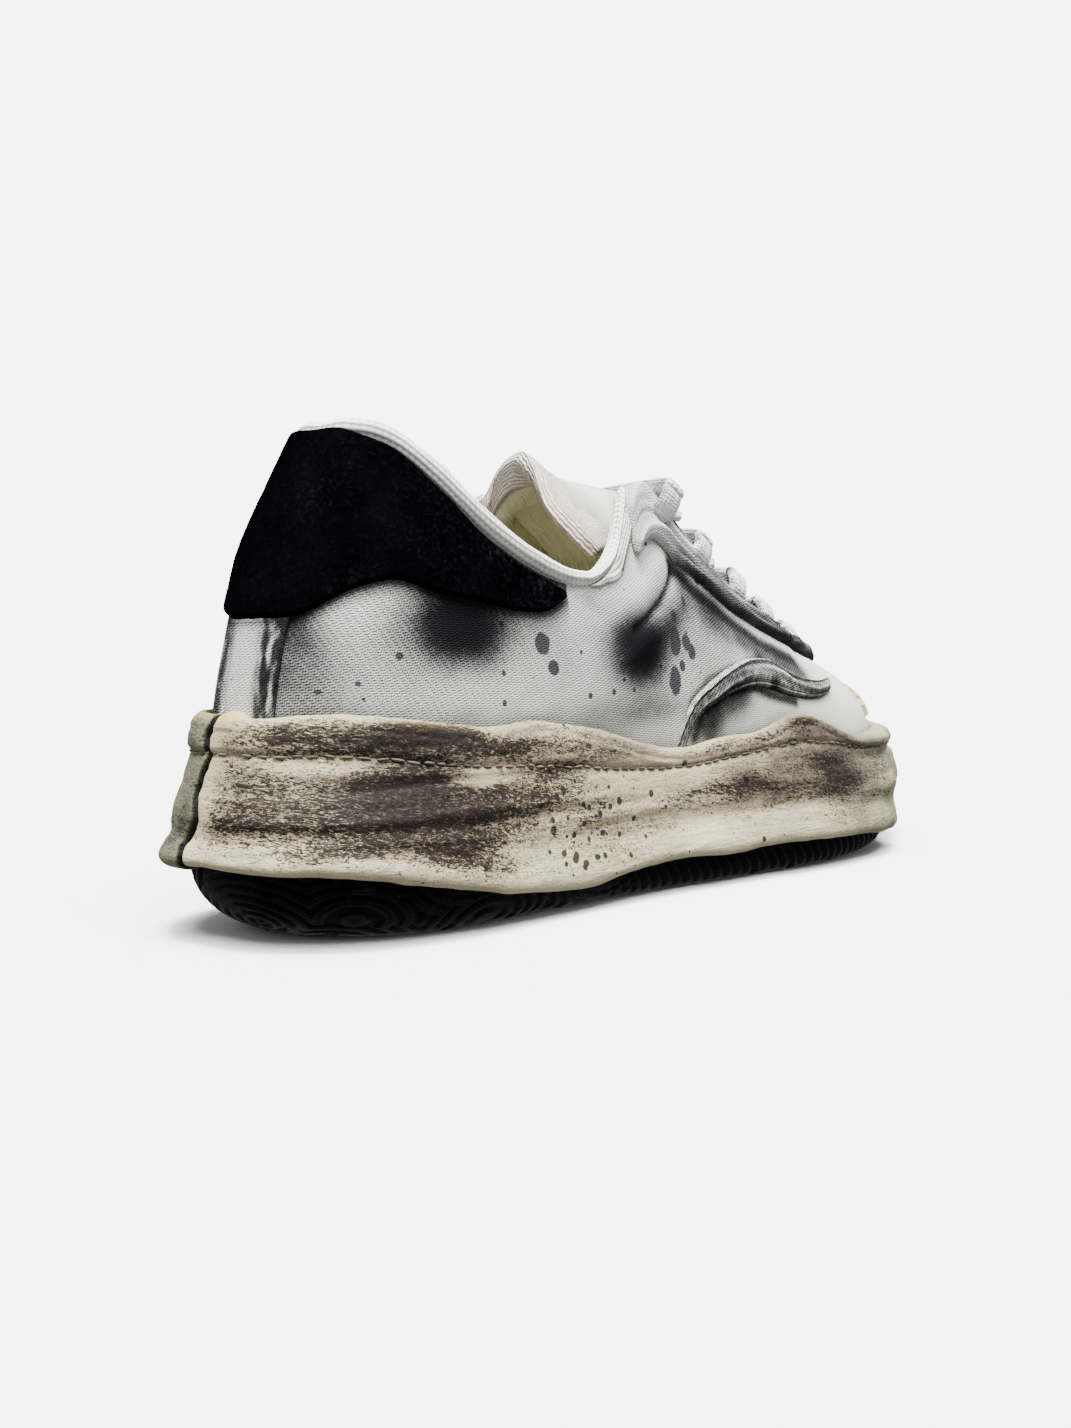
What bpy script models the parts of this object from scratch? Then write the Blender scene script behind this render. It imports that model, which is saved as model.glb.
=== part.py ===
"""Worn low canvas sneaker on a chunky moulded cup sole: a right shoe.

Metres, +Z up, toe towards +X, outer side of the foot towards -Y. The origin is under the
middle of the shoe, on the floor. Inside the functions all lengths are millimetres.

A station is a place along the side of the shoe: 0 is the heel's middle and 12 the toe's tip.
Round the whole shoe the stations run 0 to 12 along the outer side and 12 to 24 back along
the inner side. Every form is worked out from the same stations, so that pieces nest.
"""

import math

import bmesh
import bpy
import numpy as np
from mathutils import Matrix

# ---------------------------------------------------------------- driving dimensions, mm
LENGTH = 306.0            # sole, heel to toe
BALL_HALF = 54.5          # half of the sole's breadth at the ball
COLLAR_HEIGHT = 116.5     # top edge of the canvas at the heel, above the floor
TOE = 12                  # station of the toe's tip
WALL = 2.2                # canvas with its lining
GAP = 0.35                # between nested pieces
CUP_WALL_LIFT = 0.7       # canvas to the inside of the cup
INSOLE_THICK = 4.5
TAB_THICK = 1.7
FACING_THICK = 2.0
TOE_CAP_THICK = 1.7
BAND_HALF = 5.5           # half of the vamp band's full breadth
BAND_HIGH = 3.2
BAND_LIFT = 0.8           # the band's rim off the canvas
TONGUE_THICK = 3.6
TONGUE_LIFT = 1.85        # tongue's clearance under the canvas
TONGUE_ROUND = 2.4        # power of the free end's arch: higher is squarer
LACE_WIDE = 7.5
LACE_THICK = 1.7
LACE_LIFT = 0.8           # lace off the facing it starts from
HOLE_ROUND = 2.6          # radius of a lace hole
TREAD_WIDE = 2.4
TREAD_DEEP = 2.6
TREAD_HEEL = (24.0, 92.0, 4)      # grooves under the heel: first, last, how many
TREAD_FRONT = (168.0, 280.0, 7)   # grooves under the ball and toe
TREAD_REACH = 66.0                # how far a groove runs out past the sole's edge
TREAD_SWING = (3.2, 1.6)          # swing of the wave under the heel, under the ball
TREAD_WAVE = 13.0                 # the wave's length over two pi
SPLITS = (2, 3, 3, 3, 4, 3, 2, 2, 3, 3, 2, 2)   # steps from each station to the next

# ---------------------------------------------------------------- tables of sections
# The cup's lip in plan. Lengths are % of LENGTH, breadths % of BALL_HALF.
#   station, outer x, outer y, inner x, inner y
LIP_PLAN = (
    (0, 0.0, 0, 0.0, 0),
    (1, 1.3, 33, 1.3, 33),
    (2, 6.5, 61, 6.5, 60),
    (3, 15.7, 75, 15.7, 72),
    (4, 28.8, 77, 28.1, 68),
    (5, 41.8, 82, 41.2, 67),
    (6, 54.0, 93, 52.3, 76),
    (7, 66.3, 103, 64.7, 94),
    (8, 78.4, 98, 75.8, 99),
    (9, 87.0, 76, 85.6, 88),
    (10, 93.3, 55, 93.4, 66),
    (11, 98.2, 26, 98.2, 37),
    (12, 100.0, -6, 100.0, 6),
)

# Top edge of the canvas: collar, then throat. x % of LENGTH, y % of BALL_HALF,
# z % of COLLAR_HEIGHT, the same on both sides.
#   station, x, y, z
TOP_EDGE = (
    (0.0, 12.0, 0, 100.0),
    (1.0, 12.7, 17, 100.0),
    (2.0, 15.6, 33, 96.0),
    (2.5, 17.7, 43, 90.0),
    (3.0, 20.8, 52, 82.0),
    (3.5, 25.2, 59, 75.0),
    (4.0, 30.4, 63, 71.0),
    (4.4, 34.3, 62, 72.5),
    (4.7, 37.3, 59, 79.0),
    (4.9, 39.2, 55, 88.0),
    (5.05, 41.0, 51, 94.0),
    (5.2, 43.0, 48, 96.0),
    (5.5, 46.9, 45, 91.5),
    (6.0, 54.2, 40, 80.5),
    (6.5, 61.0, 37, 72.0),
    (7.0, 67.0, 33, 65.5),
    (7.5, 72.5, 29, 60.0),
    (8.0, 76.5, 25, 56.0),
    (9.0, 79.4, 17, 53.2),
    (10.0, 80.6, 10, 52.2),
    (11.0, 81.0, 5, 51.9),
    (12.0, 81.1, 0, 51.9),
)

# How a rib of the upper leaves the sole and reaches the top edge, mm.
#   station, inset of its foot from the lip, rise and swell at the foot, drop and spread at the edge
RIBS = (
    (0, 13.5, 34, 2.5, 26, 14.0),
    (1, 13.0, 34, 3.0, 26, 13.0),
    (2, 11.5, 32, 4.0, 25, 11.0),
    (3, 9.5, 26, 4.5, 22, 4.0),
    (4, 9.0, 20, 5.0, 17, 3.5),
    (5, 9.0, 26, 5.5, 34, 9.0),
    (6, 9.0, 26, 5.5, 16, 17.0),
    (7, 9.0, 24, 5.0, 10, 21.0),
    (8, 9.5, 22, 5.0, 6, 24.0),
    (9, 11.0, 20, 4.5, 3, 26.0),
    (10, 12.0, 18, 4.5, 2, 27.5),
    (11, 12.0, 17.5, 4.5, 1, 29.0),
    (12, 12.0, 17.5, 4.5, 1, 30.0),
)

# The cup's wavy edges, mm above the floor.
#   station, top of the sidewall, stitched groove, underside of the lip
CUP_WAVES = (
    (0.0, 51.5, 43.0, 17.6),
    (1.0, 51.8, 43.2, 17.1),
    (2.0, 52.4, 42.8, 16.1),
    (3.0, 49.3, 39.8, 10.6),
    (3.3, 48.3, 38.9, 8.6),
    (3.6, 49.8, 38.2, 7.5),
    (4.1, 47.8, 36.6, 6.1),
    (4.5, 44.0, 35.0, 8.0),
    (4.8, 41.0, 34.4, 9.0),
    (5.2, 39.4, 34.2, 9.4),
    (5.6, 41.4, 35.6, 8.6),
    (6.0, 42.3, 37.0, 9.3),
    (6.5, 47.0, 38.4, 9.4),
    (6.9, 43.5, 37.4, 8.8),
    (7.4, 38.8, 35.2, 8.2),
    (8.0, 39.4, 34.6, 7.0),
    (9.0, 41.0, 34.8, 6.8),
    (10.0, 43.0, 35.6, 10.0),
    (11.0, 44.2, 36.4, 12.8),
    (12.0, 44.6, 37.0, 13.4),
)

# The sidewall's outer face from the rim down to the lip, by two spans: rim to groove (0), then
# groove to the lip's underside (1). Share is how far down the span and depth is in from the
# lip, mm, given at the heel, along the sides and round the toe.
#   span, heel share, heel depth, side share, side depth, toe share, toe depth
SIDEWALL = (
    (0, 0.06, 8.4, 0.06, 5.6, 0.06, 11.0),
    (0, 0.35, 6.9, 0.35, 4.4, 0.35, 8.6),
    (0, 0.75, 6.7, 0.75, 4.4, 0.75, 6.0),
    (0, 1.00, 8.2, 1.00, 5.6, 1.00, 5.0),
    (1, 0.10, 6.8, 0.12, 3.8, 0.12, 1.6),
    (1, 0.32, 4.6, 0.34, 3.0, 0.34, 0.0),
    (1, 0.56, 2.9, 0.58, 3.0, 0.54, 0.6),
    (1, 0.74, 3.2, 0.76, 1.2, 0.72, 1.9),
    (1, 0.88, 0.0, 0.90, 0.0, 0.88, 3.8),
    (1, 0.97, 0.6, 0.98, 0.8, 0.97, 5.4),
)
RIM_CROWN = (10.2, 7.0, 12.6)         # depth of the rim's highest line: heel, side, toe
LIP_UNDER = (0.6, 0.8, 5.6)           # depth of the lip's lowest line: heel, side, toe
#   station, share of the heel's profile, share of the toe's profile
PROFILE_MIX = ((0, 1.0, 0.0), (1, 1.0, 0.0), (2, 0.9, 0.0), (3, 0.4, 0.0), (4, 0.0, 0.0), (6, 0.0, 0.0),
               (7.5, 0.0, 0.0), (8.5, 0.0, 0.25), (9.3, 0.0, 0.8), (10, 0.0, 1.0), (12, 0.0, 1.0))

# The outsole's side and its rounded bottom edge, mm.
#   station, side's depth in from the lip, edge's reach inwards, edge's height
OUTSOLE_EDGE = (
    (0, 7.0, 23.0, 18.0),
    (1, 7.0, 22.5, 17.5),
    (2, 6.5, 18.5, 15.5),
    (3, 5.0, 11.5, 11.0),
    (4, 5.0, 9.0, 8.0),
    (8, 5.0, 9.0, 8.0),
    (10, 6.5, 11.0, 9.0),
    (12, 7.0, 12.0, 10.0),
)

# Levels under the foot along the shoe. x % of LENGTH, heights mm.
#   x, outsole's bottom, outsole's top, cup's floor
LEVELS = (
    (0, 0.0, 21.0, 31.0),
    (15, 0.0, 20.0, 31.0),
    (30, 0.0, 15.5, 28.5),
    (45, 0.0, 13.0, 24.0),
    (60, 0.0, 12.0, 19.5),
    (73, 0.0, 11.8, 18.0),
    (82, 1.2, 12.4, 18.6),
    (91, 4.8, 16.0, 21.5),
    (100, 9.0, 20.0, 26.5),
)

# Heel tab: its lower edge, mm above the floor, and its front end at the last station.
TAB_LOW = ((0, 73.5), (1, 75.0), (1.6, 80.5), (2, 82.3), (2.5, 79.5), (3, 77.8),
           (3.4, 75.6), (3.65, 75.8), (3.84, 78.0))
TAB_FRONT = 3.84

# Collar roll: half its width across the edge and half its height, mm.
ROLL_SIZE = ((0, 3.6, 2.6), (2, 3.6, 2.6), (3, 3.3, 2.4), (3.8, 2.9, 1.7), (4.3, 2.9, 1.8), (5.0, 3.0, 2.2))

# Facing: its breadth down from the top edge, mm.
FACING_BREADTH = ((5.0, 15.0), (5.3, 17.0), (6.0, 18.0), (7.0, 15.5), (8.0, 11.0), (9.0, 8.5), (9.4, 6.5))

# Vamp band: its middle line and breadth.
#   station, height above the floor in mm, share of the full breadth
BAND_PATH = (
    (5.26, 44.8, 0.55),
    (5.45, 48.6, 0.75),
    (5.75, 53.0, 0.95),
    (6.2, 56.8, 1.0),
    (6.6, 56.0, 1.0),
    (6.9, 54.2, 0.95),
    (7.3, 53.6, 0.8),
    (7.6, 53.8, 0.55),
)

# Toe cap: its rear edge, mm above the floor.
CAP_EDGE = ((9, 46.0), (9.5, 49.0), (10, 51.2), (11, 53.6), (12, 54.4))

LACE_ROWS = (5.36, 5.86, 6.38, 6.92, 7.5, 8.15)    # stations of the lace holes
HOLE_FROM_EDGE = 8.0                                # lace hole's middle, down from the top edge
LACE_DIVE = 0.24                                    # stations before a row where a lace dives under

# Free end of the tongue past the throat: its outer side, crown and inner side, mm.
#   outer x, outer y, outer z, crown x, crown y, crown z, inner x, inner y, inner z
TONGUE_FREE = (
    (123.0, -26.5, 94.0, 128.0, 3.0, 118.5, 128.0, 26.5, 94.0),
    (112.0, -27.5, 94.5, 121.0, 5.0, 121.5, 119.0, 27.5, 93.0),
)


MIRROR = np.array([1, -1, 1])     # turns a point on one side of the throat into its twin


# ---------------------------------------------------------------- curves and the upper's surface
def smooth(knots, values, at):
    """A cubic through the knots, each knot's slope taken from its neighbours."""
    knots = np.asarray(knots, float)
    values = np.asarray(values, float)
    slopes = np.gradient(values, knots, axis=0)
    at = np.asarray(at, float)
    index = np.clip(np.searchsorted(knots, at, side="right") - 1, 0, len(knots) - 2)
    step = knots[index + 1] - knots[index]
    share = (at - knots[index]) / step
    start, end = values[index], values[index + 1]
    start_slope, end_slope = slopes[index] * step, slopes[index + 1] * step
    return (
        (1 + 2 * share) * (1 - share) ** 2 * start
        + share * (1 - share) ** 2 * start_slope
        + share**2 * (3 - 2 * share) * end
        - share**2 * (1 - share) * end_slope
    )


def round_the_shoe(outer, inner, at):
    """Values of (station, value) rows on both sides, read round the shoe at stations 0 to 24."""
    forward = [tuple(row) for row in outer]
    back = [(2 * TOE - row[0], row[1]) for row in reversed(inner)][1:-1]
    loop = forward + back
    before = [(row[0] - 2 * TOE, row[1]) for row in loop[-3:]]
    after = [(row[0] + 2 * TOE, row[1]) for row in loop[:3]]
    knots, values = zip(*(before + loop + after))
    return smooth(knots, values, np.mod(at, 2 * TOE))


def both_sides(table, column, at, mirrored=False):
    """One column of a table that serves both sides; a mirrored one is a breadth, outer side negative."""
    rows = [(row[0], row[column]) for row in table]
    outer = [(station, -value if mirrored else value) for station, value in rows]
    return round_the_shoe(outer, rows, at)


def side_stations():
    """Stations of the ribs along one side, heel to toe."""
    steps = [start + step / count for start, count in enumerate(SPLITS) for step in range(count)]
    return np.array(steps + [TOE])


def all_stations():
    """Stations of the ribs right round the shoe, without the last, which meets the first."""
    side = side_stations()
    return np.concatenate([side, 2 * TOE - side[-2:0:-1]])


def lip(at):
    """Plan of the cup's lip, and its outward direction."""
    x = round_the_shoe([(r[0], r[1]) for r in LIP_PLAN], [(r[0], r[3]) for r in LIP_PLAN], at)
    y = round_the_shoe([(r[0], -r[2]) for r in LIP_PLAN], [(r[0], r[4]) for r in LIP_PLAN], at)
    return np.stack([x * LENGTH / 100, y * BALL_HALF / 100], -1)


def lip_outward(at):
    ahead, behind = lip(np.asarray(at) + 0.02), lip(np.asarray(at) - 0.02)
    along = ahead - behind
    along /= np.linalg.norm(along, axis=-1, keepdims=True)
    return np.stack([along[..., 1], -along[..., 0]], -1)


def level(x, column):
    """Height of one of the LEVELS at a length along the shoe."""
    table = np.array(LEVELS)
    share = np.clip(np.asarray(x) / LENGTH * 100, 0, 100)
    return np.maximum(smooth(table[:, 0], table[:, column], share), 0.0)


def lip_inset(at, depth):
    """Plan points in from the lip by a depth."""
    depth = np.broadcast_to(np.asarray(depth, float), np.shape(at))
    return lip(at) - lip_outward(at) * depth[..., None]


def rib(at):
    """The four control points of each station's rib, from the cup's floor to the top edge."""
    at = np.asarray(at, float)
    outward = lip_outward(at)
    foot_plan = lip_inset(at, both_sides(RIBS, 1, at))
    foot = np.concatenate([foot_plan, (level(foot_plan[..., 0], 3) + GAP)[..., None]], -1)
    rise, swell = both_sides(RIBS, 2, at), both_sides(RIBS, 3, at)
    drop, spread = both_sides(RIBS, 4, at), both_sides(RIBS, 5, at)
    edge = np.stack(
        [
            both_sides(TOP_EDGE, 1, at) * LENGTH / 100,
            both_sides(TOP_EDGE, 2, at, mirrored=True) * BALL_HALF / 100,
            both_sides(TOP_EDGE, 3, at) * COLLAR_HEIGHT / 100,
        ],
        -1,
    )
    low = foot + np.concatenate([outward * swell[..., None], rise[..., None]], -1)
    high = edge + np.concatenate([outward * spread[..., None], -drop[..., None]], -1)
    return foot, low, high, edge


def on_rib(at, share):
    """Points of the canvas's outer face: share 0 at the cup's floor, 1 at the top edge."""
    foot, low, high, edge = rib(at)
    s = np.asarray(share, float)[..., None]
    return foot * (1 - s) ** 3 + 3 * low * s * (1 - s) ** 2 + 3 * high * s**2 * (1 - s) + edge * s**3


def outward_normal(at, share):
    at, share = np.broadcast_arrays(np.asarray(at, float), np.asarray(share, float))
    along = on_rib(at + 0.03, share) - on_rib(at - 0.03, share)
    up = on_rib(at, share + 0.01) - on_rib(at, share - 0.01)
    normal = np.cross(along, up)
    return normal / np.linalg.norm(normal, axis=-1, keepdims=True)


def skin(at, share, lift=0.0):
    """A point of the upper's own surface, lifted off it by a distance."""
    at, share = np.broadcast_arrays(np.asarray(at, float), np.asarray(share, float))
    lift = np.broadcast_to(np.asarray(lift, float), at.shape)
    return on_rib(at, share) + outward_normal(at, share) * lift[..., None]


def share_at_height(at, height):
    """Where each rib reaches a height."""
    at, height = np.broadcast_arrays(np.asarray(at, float), np.asarray(height, float))
    shares = np.linspace(0, 1, 101)
    found = np.empty(at.shape)
    for place, (station, level_wanted) in enumerate(zip(at.flat, height.flat)):
        heights = on_rib(np.full(101, station), shares)[:, 2]
        rising = np.maximum.accumulate(heights)
        found.flat[place] = np.interp(level_wanted, rising + shares * 1e-6, shares)
    return found


def share_below_edge(at, distance):
    """Where each rib is a distance short of the top edge, measured along the rib."""
    at, distance = np.broadcast_arrays(np.asarray(at, float), np.asarray(distance, float))
    shares = np.linspace(0, 1, 101)
    found = np.empty(at.shape)
    for place, (station, wanted) in enumerate(zip(at.flat, distance.flat)):
        points = on_rib(np.full(101, station), shares)
        steps = np.linalg.norm(np.diff(points, axis=0), axis=1)
        left = steps.sum() - np.concatenate([[0], np.cumsum(steps)])
        found.flat[place] = np.interp(-wanted, -left, shares)
    return found


def spine(at):
    """The line under the foot's middle where a sole's two sides meet."""
    side = np.minimum(np.mod(at, 2 * TOE), 2 * TOE - np.mod(at, 2 * TOE))
    x = LENGTH * (0.11 + 0.80 * side / TOE)
    return x, 4.0 * side / TOE


# ---------------------------------------------------------------- meshes and materials
def material(name, colour, roughness):
    made = bpy.data.materials.new(name)
    made.use_nodes = True
    shader = made.node_tree.nodes["Principled BSDF"]
    shader.inputs["Base Color"].default_value = (*colour, 1)
    shader.inputs["Roughness"].default_value = roughness
    return made


def finish(name, bm, finish_material):
    """Makes an object of the mesh, closed, facing out and shaded smooth."""
    bmesh.ops.remove_doubles(bm, verts=bm.verts, dist=1e-6)
    bmesh.ops.recalc_face_normals(bm, faces=bm.faces)
    mesh = bpy.data.meshes.new(name)
    bm.to_mesh(mesh)
    bm.free()
    mesh.shade_smooth()
    mesh.set_sharp_from_angle(angle=math.radians(40))
    mesh.materials.append(finish_material)
    made = bpy.data.objects.new(name, mesh)
    bpy.context.scene.collection.objects.link(made)
    return made


def lay_grid(bm, points):
    """Lays a flat grid onto rows and columns of points, in millimetres."""
    rows, columns = points.shape[:2]
    made = bmesh.ops.create_grid(bm, x_segments=rows - 1, y_segments=columns - 1, size=1)
    for vert in made["verts"]:
        row = round((vert.co.x + 1) / 2 * (rows - 1))
        column = round((vert.co.y + 1) / 2 * (columns - 1))
        vert.co = points[row, column] / 1000
    return made["verts"]


def ring_body(name, points, finish_material):
    """A body whose stations go right round the shoe: rows meet, and so do the columns' ends."""
    bm = bmesh.new()
    closed = np.concatenate([points, points[:1]])
    lay_grid(bm, closed)
    return finish(name, bm, finish_material)


def bar_body(name, sections, finish_material):
    """A body of closed sections in a row, with a cap on each end."""
    bm = bmesh.new()
    lay_grid(bm, np.concatenate([sections, sections[:, :1]], axis=1))
    bmesh.ops.remove_doubles(bm, verts=bm.verts, dist=1e-6)
    bmesh.ops.holes_fill(bm, edges=bm.edges)
    return finish(name, bm, finish_material)


def cutter(name, bm):
    """A hidden helper that a Boolean takes away."""
    bmesh.ops.recalc_face_normals(bm, faces=bm.faces)
    mesh = bpy.data.meshes.new(name)
    bm.to_mesh(mesh)
    bm.free()
    made = bpy.data.objects.new(name, mesh)
    made.hide_render = True
    made.display_type = "WIRE"
    bpy.context.scene.collection.objects.link(made)
    return made


def boolean(target, other, operation, solver="EXACT"):
    modifier = target.modifiers.new(operation.title(), "BOOLEAN")
    modifier.operation = operation
    modifier.solver = solver
    modifier.object = other


# ---------------------------------------------------------------- sole
def in_height(plan, height):
    """Plan points at a height."""
    height = np.broadcast_to(np.asarray(height, float), plan.shape[:-1])
    return np.concatenate([plan, height[..., None]], -1)


def outsole(rubber):
    """A slab with a rounded bottom edge: column by column from the bottom's spine to the top's."""
    at = all_stations()
    spine_x, spine_y = spine(at)
    middle = np.stack([spine_x, spine_y], -1)
    depth, reach, tall = (both_sides(OUTSOLE_EDGE, column, at) for column in (1, 2, 3))
    side = lip_inset(at, depth)
    top = level(side[:, 0], 2)
    columns = [in_height(middle, level(spine_x, 1))]
    for turn in (0, 30, 60, 90):
        inset = reach * (1 - math.sin(math.radians(turn)))
        raised = tall * (1 - math.cos(math.radians(turn)))
        plan = lip_inset(at, depth + inset)
        columns.append(in_height(plan, level(plan[:, 0], 1) + raised))
    columns.append(in_height(side, top))
    columns.append(in_height(middle, level(spine_x, 2)))
    body = ring_body("outsole", np.stack(columns, 1), rubber)
    boolean(body, tread_cutter(), "DIFFERENCE", "MANIFOLD")
    return body


def tread_cutter():
    """Wavy grooves across the bottom: bent bars, open at both edges of the sole."""
    bm = bmesh.new()
    across = np.linspace(-TREAD_REACH, TREAD_REACH, 10)
    below = np.full_like(across, -TREAD_REACH / 10)
    for (first, last, count), swing in zip((TREAD_HEEL, TREAD_FRONT), TREAD_SWING):
        for x in np.linspace(first, last, count):
            wave = x + swing * np.sin((across + x) / TREAD_WAVE)
            roof = level(wave, 1) + TREAD_DEEP
            back, front = wave - TREAD_WIDE / 2, wave + TREAD_WIDE / 2
            corners = ((back, below), (front, below), (front, roof), (back, roof), (back, below))
            ring = [np.stack([edge, across, height], -1) for edge, height in corners]
            verts = lay_grid(bm, np.stack(ring, 1))
            bmesh.ops.remove_doubles(bm, verts=verts, dist=1e-6)
    bmesh.ops.holes_fill(bm, edges=bm.edges)
    return cutter("tread_grooves", bm)


def cup_sole(rubber):
    """Floor, inner wall, rim, wavy sidewall and lip, column by column from spine to spine."""
    at = all_stations()
    spine_x, spine_y = spine(at)
    middle = np.stack([spine_x, spine_y], -1)
    heel_share, toe_share = both_sides(PROFILE_MIX, 1, at), both_sides(PROFILE_MIX, 2, at)

    def mixed(heel, side, toe):
        return side + heel_share * (heel - side) + toe_share * (toe - side)

    top = both_sides(CUP_WAVES, 1, at)
    groove = both_sides(CUP_WAVES, 2, at)
    under = both_sides(CUP_WAVES, 3, at)
    columns = [in_height(middle, level(spine_x, 3))]
    foot = skin(at, np.zeros_like(at), CUP_WALL_LIFT)
    columns.append(in_height(foot[:, :2], level(foot[:, 0], 3)))
    for share in (0.4, 0.75, 1.0):
        height = foot[:, 2] + share * (top - 1.0 - foot[:, 2])
        columns.append(skin(at, share_at_height(at, height), CUP_WALL_LIFT))
    columns.append(in_height(lip_inset(at, mixed(*RIM_CROWN)), top))
    for span, *row in SIDEWALL:
        start, end = (top, groove) if span == 0 else (groove, under)
        share, depth = mixed(*row[0::2]), mixed(*row[1::2])
        columns.append(in_height(lip_inset(at, depth), start + share * (end - start)))
    skirt_depth = both_sides(OUTSOLE_EDGE, 1, at) - GAP
    columns.append(in_height(lip_inset(at, (skirt_depth + mixed(*LIP_UNDER)) / 2), under))
    skirt = lip_inset(at, skirt_depth)
    ceiling = level(skirt[:, 0], 2) + GAP
    columns.append(in_height(skirt, np.minimum(under + 0.4, ceiling - 0.3)))
    columns.append(in_height(skirt, ceiling))
    columns.append(in_height(middle, level(spine_x, 2) + GAP))
    return ring_body("cup_sole", np.stack(columns, 1), rubber)


def insole(textile):
    """Footbed on the cup's floor, inside the upper."""
    at = all_stations()
    spine_x, spine_y = spine(at)
    middle = np.stack([spine_x, spine_y], -1)
    low = skin(at, np.zeros_like(at), -(WALL + 0.5))
    low_height = level(low[:, 0], 3) + GAP
    share = share_at_height(at, low_height + INSOLE_THICK)
    high = skin(at, share, -(WALL + 0.6))
    columns = [
        in_height(middle, level(spine_x, 3) + GAP),
        in_height(low[:, :2], low_height),
        in_height(high[:, :2], level(high[:, 0], 3) + GAP + INSOLE_THICK),
        in_height(middle, level(spine_x, 3) + GAP + INSOLE_THICK),
    ]
    return ring_body("insole", np.stack(columns, 1), textile)


# ---------------------------------------------------------------- upper and what lies on it
def upper(canvas):
    """One hollow wall: up the outside of every rib, over the edge and down the inside."""
    at = all_stations()
    outside = [skin(at, share, 0.0) for share in np.linspace(0, 1, 9)]
    inside = [skin(at, share, -WALL) for share in np.linspace(1, 0, 8)]
    return ring_body("upper", np.stack(outside + inside + outside[:1], 1), canvas)


def patch(name, at, low, high, thick, across, finish_material):
    """A piece that lies on the upper: cut between two forms of it, a gap and a thickness out."""
    sections = []
    for station, start, end in zip(at, low, high):
        shares = np.linspace(start, end, across)
        outer = skin(station, shares, GAP + thick)
        inner = skin(station, shares, GAP)
        sections.append(np.concatenate([outer, inner[::-1]]))
    return bar_body(name, np.array(sections), finish_material)


def heel_tab(suede):
    """Suede patch round the heel, from its curved lower edge up to the collar roll."""
    side = side_stations()
    side = np.unique(np.concatenate([side[side < TAB_FRONT], [TAB_FRONT - 0.12, TAB_FRONT]]))
    at = np.concatenate([-side[:0:-1], side])
    stations, heights = zip(*TAB_LOW)
    low = share_at_height(at, smooth(stations, heights, np.abs(at)))
    high = share_below_edge(at, 0.6)
    closing = np.clip((np.abs(at) - TAB_FRONT + 0.25) / 0.25, 0, 1) ** 2
    middle = (low + high) / 2
    low = low + closing * 0.45 * (middle - low)
    high = high + closing * 0.45 * (middle - high)
    return patch("heel_tab", at, low, high, TAB_THICK, 4, suede)


def facing(name, canvas, inner_side):
    """Band beside the throat that carries the lace holes."""
    stations, breadths = zip(*FACING_BREADTH)
    at = np.concatenate([np.linspace(5.06, 5.5, 5), np.linspace(5.8, 9.4, 11)])
    round_at = 2 * TOE - at if inner_side else at
    low = share_below_edge(round_at, smooth(stations, breadths, at))
    return patch(name, round_at, low, np.ones_like(at), FACING_THICK, 4, canvas)


def toe_cap(rubber):
    """Rubber piece round the front of the toe, just above the cup's rim."""
    side = side_stations()
    side = side[side > 8.99]
    at = np.concatenate([side, 2 * TOE - side[-2::-1]])
    stations, heights = zip(*CAP_EDGE)
    side_at = np.minimum(at, 2 * TOE - at)
    high = share_at_height(at, smooth(stations, heights, side_at))
    low = share_at_height(at, both_sides(CUP_WAVES, 1, at) + 1.2)
    return patch("toe_cap", at, low, high, TOE_CAP_THICK, 4, rubber)


def along_path(at, share):
    """Points on the upper along a path, the way across the path, and the surface's normal."""
    points = skin(at, share, 0.0)
    normal = outward_normal(at, share)
    sideways = np.cross(normal, np.gradient(points, axis=0))
    sideways /= np.linalg.norm(sideways, axis=-1, keepdims=True)
    return points, sideways, normal


def vamp_band(name, canvas, inner_side):
    """Puffy double ridge that arches from the sole over the side of the vamp to the toe cap."""
    stations, heights, breadths = zip(*BAND_PATH)
    side = np.concatenate([np.linspace(stations[0], 5.9, 6), np.linspace(6.2, stations[-1], 10)])
    at = 2 * TOE - side if inner_side else side
    share = share_at_height(at, smooth(stations, heights, side))
    points, sideways, normal = along_path(at, share)
    half = BAND_HALF * smooth(stations, breadths, side)
    ridges = ((-1, 0.0), (-0.8, 0.7), (-0.45, 1.0), (0.0, 0.72), (0.45, 1.0), (0.8, 0.7), (1, 0.0))
    underside = ((0.9, -0.1), (0.0, -0.1), (-0.9, -0.1))
    sections = [
        [point + side_way * wide * across + up * (BAND_LIFT + BAND_HIGH * high)
         for across, high in ridges + underside]
        for point, side_way, up, wide in zip(points, sideways, normal, half)
    ]
    return bar_body(name, np.array(sections), canvas)


def collar_roll(knit):
    """Padded roll that sits on the canvas's edge, from one throat corner round the heel."""
    side = side_stations()
    side = side[side < 5.01]
    at = np.concatenate([-side[:0:-1], side])
    half_wide, half_high = both_sides(ROLL_SIZE, 1, at), both_sides(ROLL_SIZE, 2, at)
    ones = np.ones_like(at)
    edge = skin(at, ones, -WALL / 2)
    up = on_rib(at, ones) - on_rib(at, ones * 0.97)
    up /= np.linalg.norm(up, axis=-1, keepdims=True)
    normal = outward_normal(at, ones)
    turns = np.linspace(0, 2 * math.pi, 8, endpoint=False)
    sections = []
    for point, rising, out, wide, high in zip(edge, up, normal, half_wide, half_high):
        centre = point + rising * (high + GAP + 0.15)
        sections.append(
            [
                centre + out * wide * math.cos(turn) + rising * high * math.sin(turn)
                for turn in turns
            ]
        )
    return bar_body("collar_roll", np.array(sections), knit)


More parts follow.
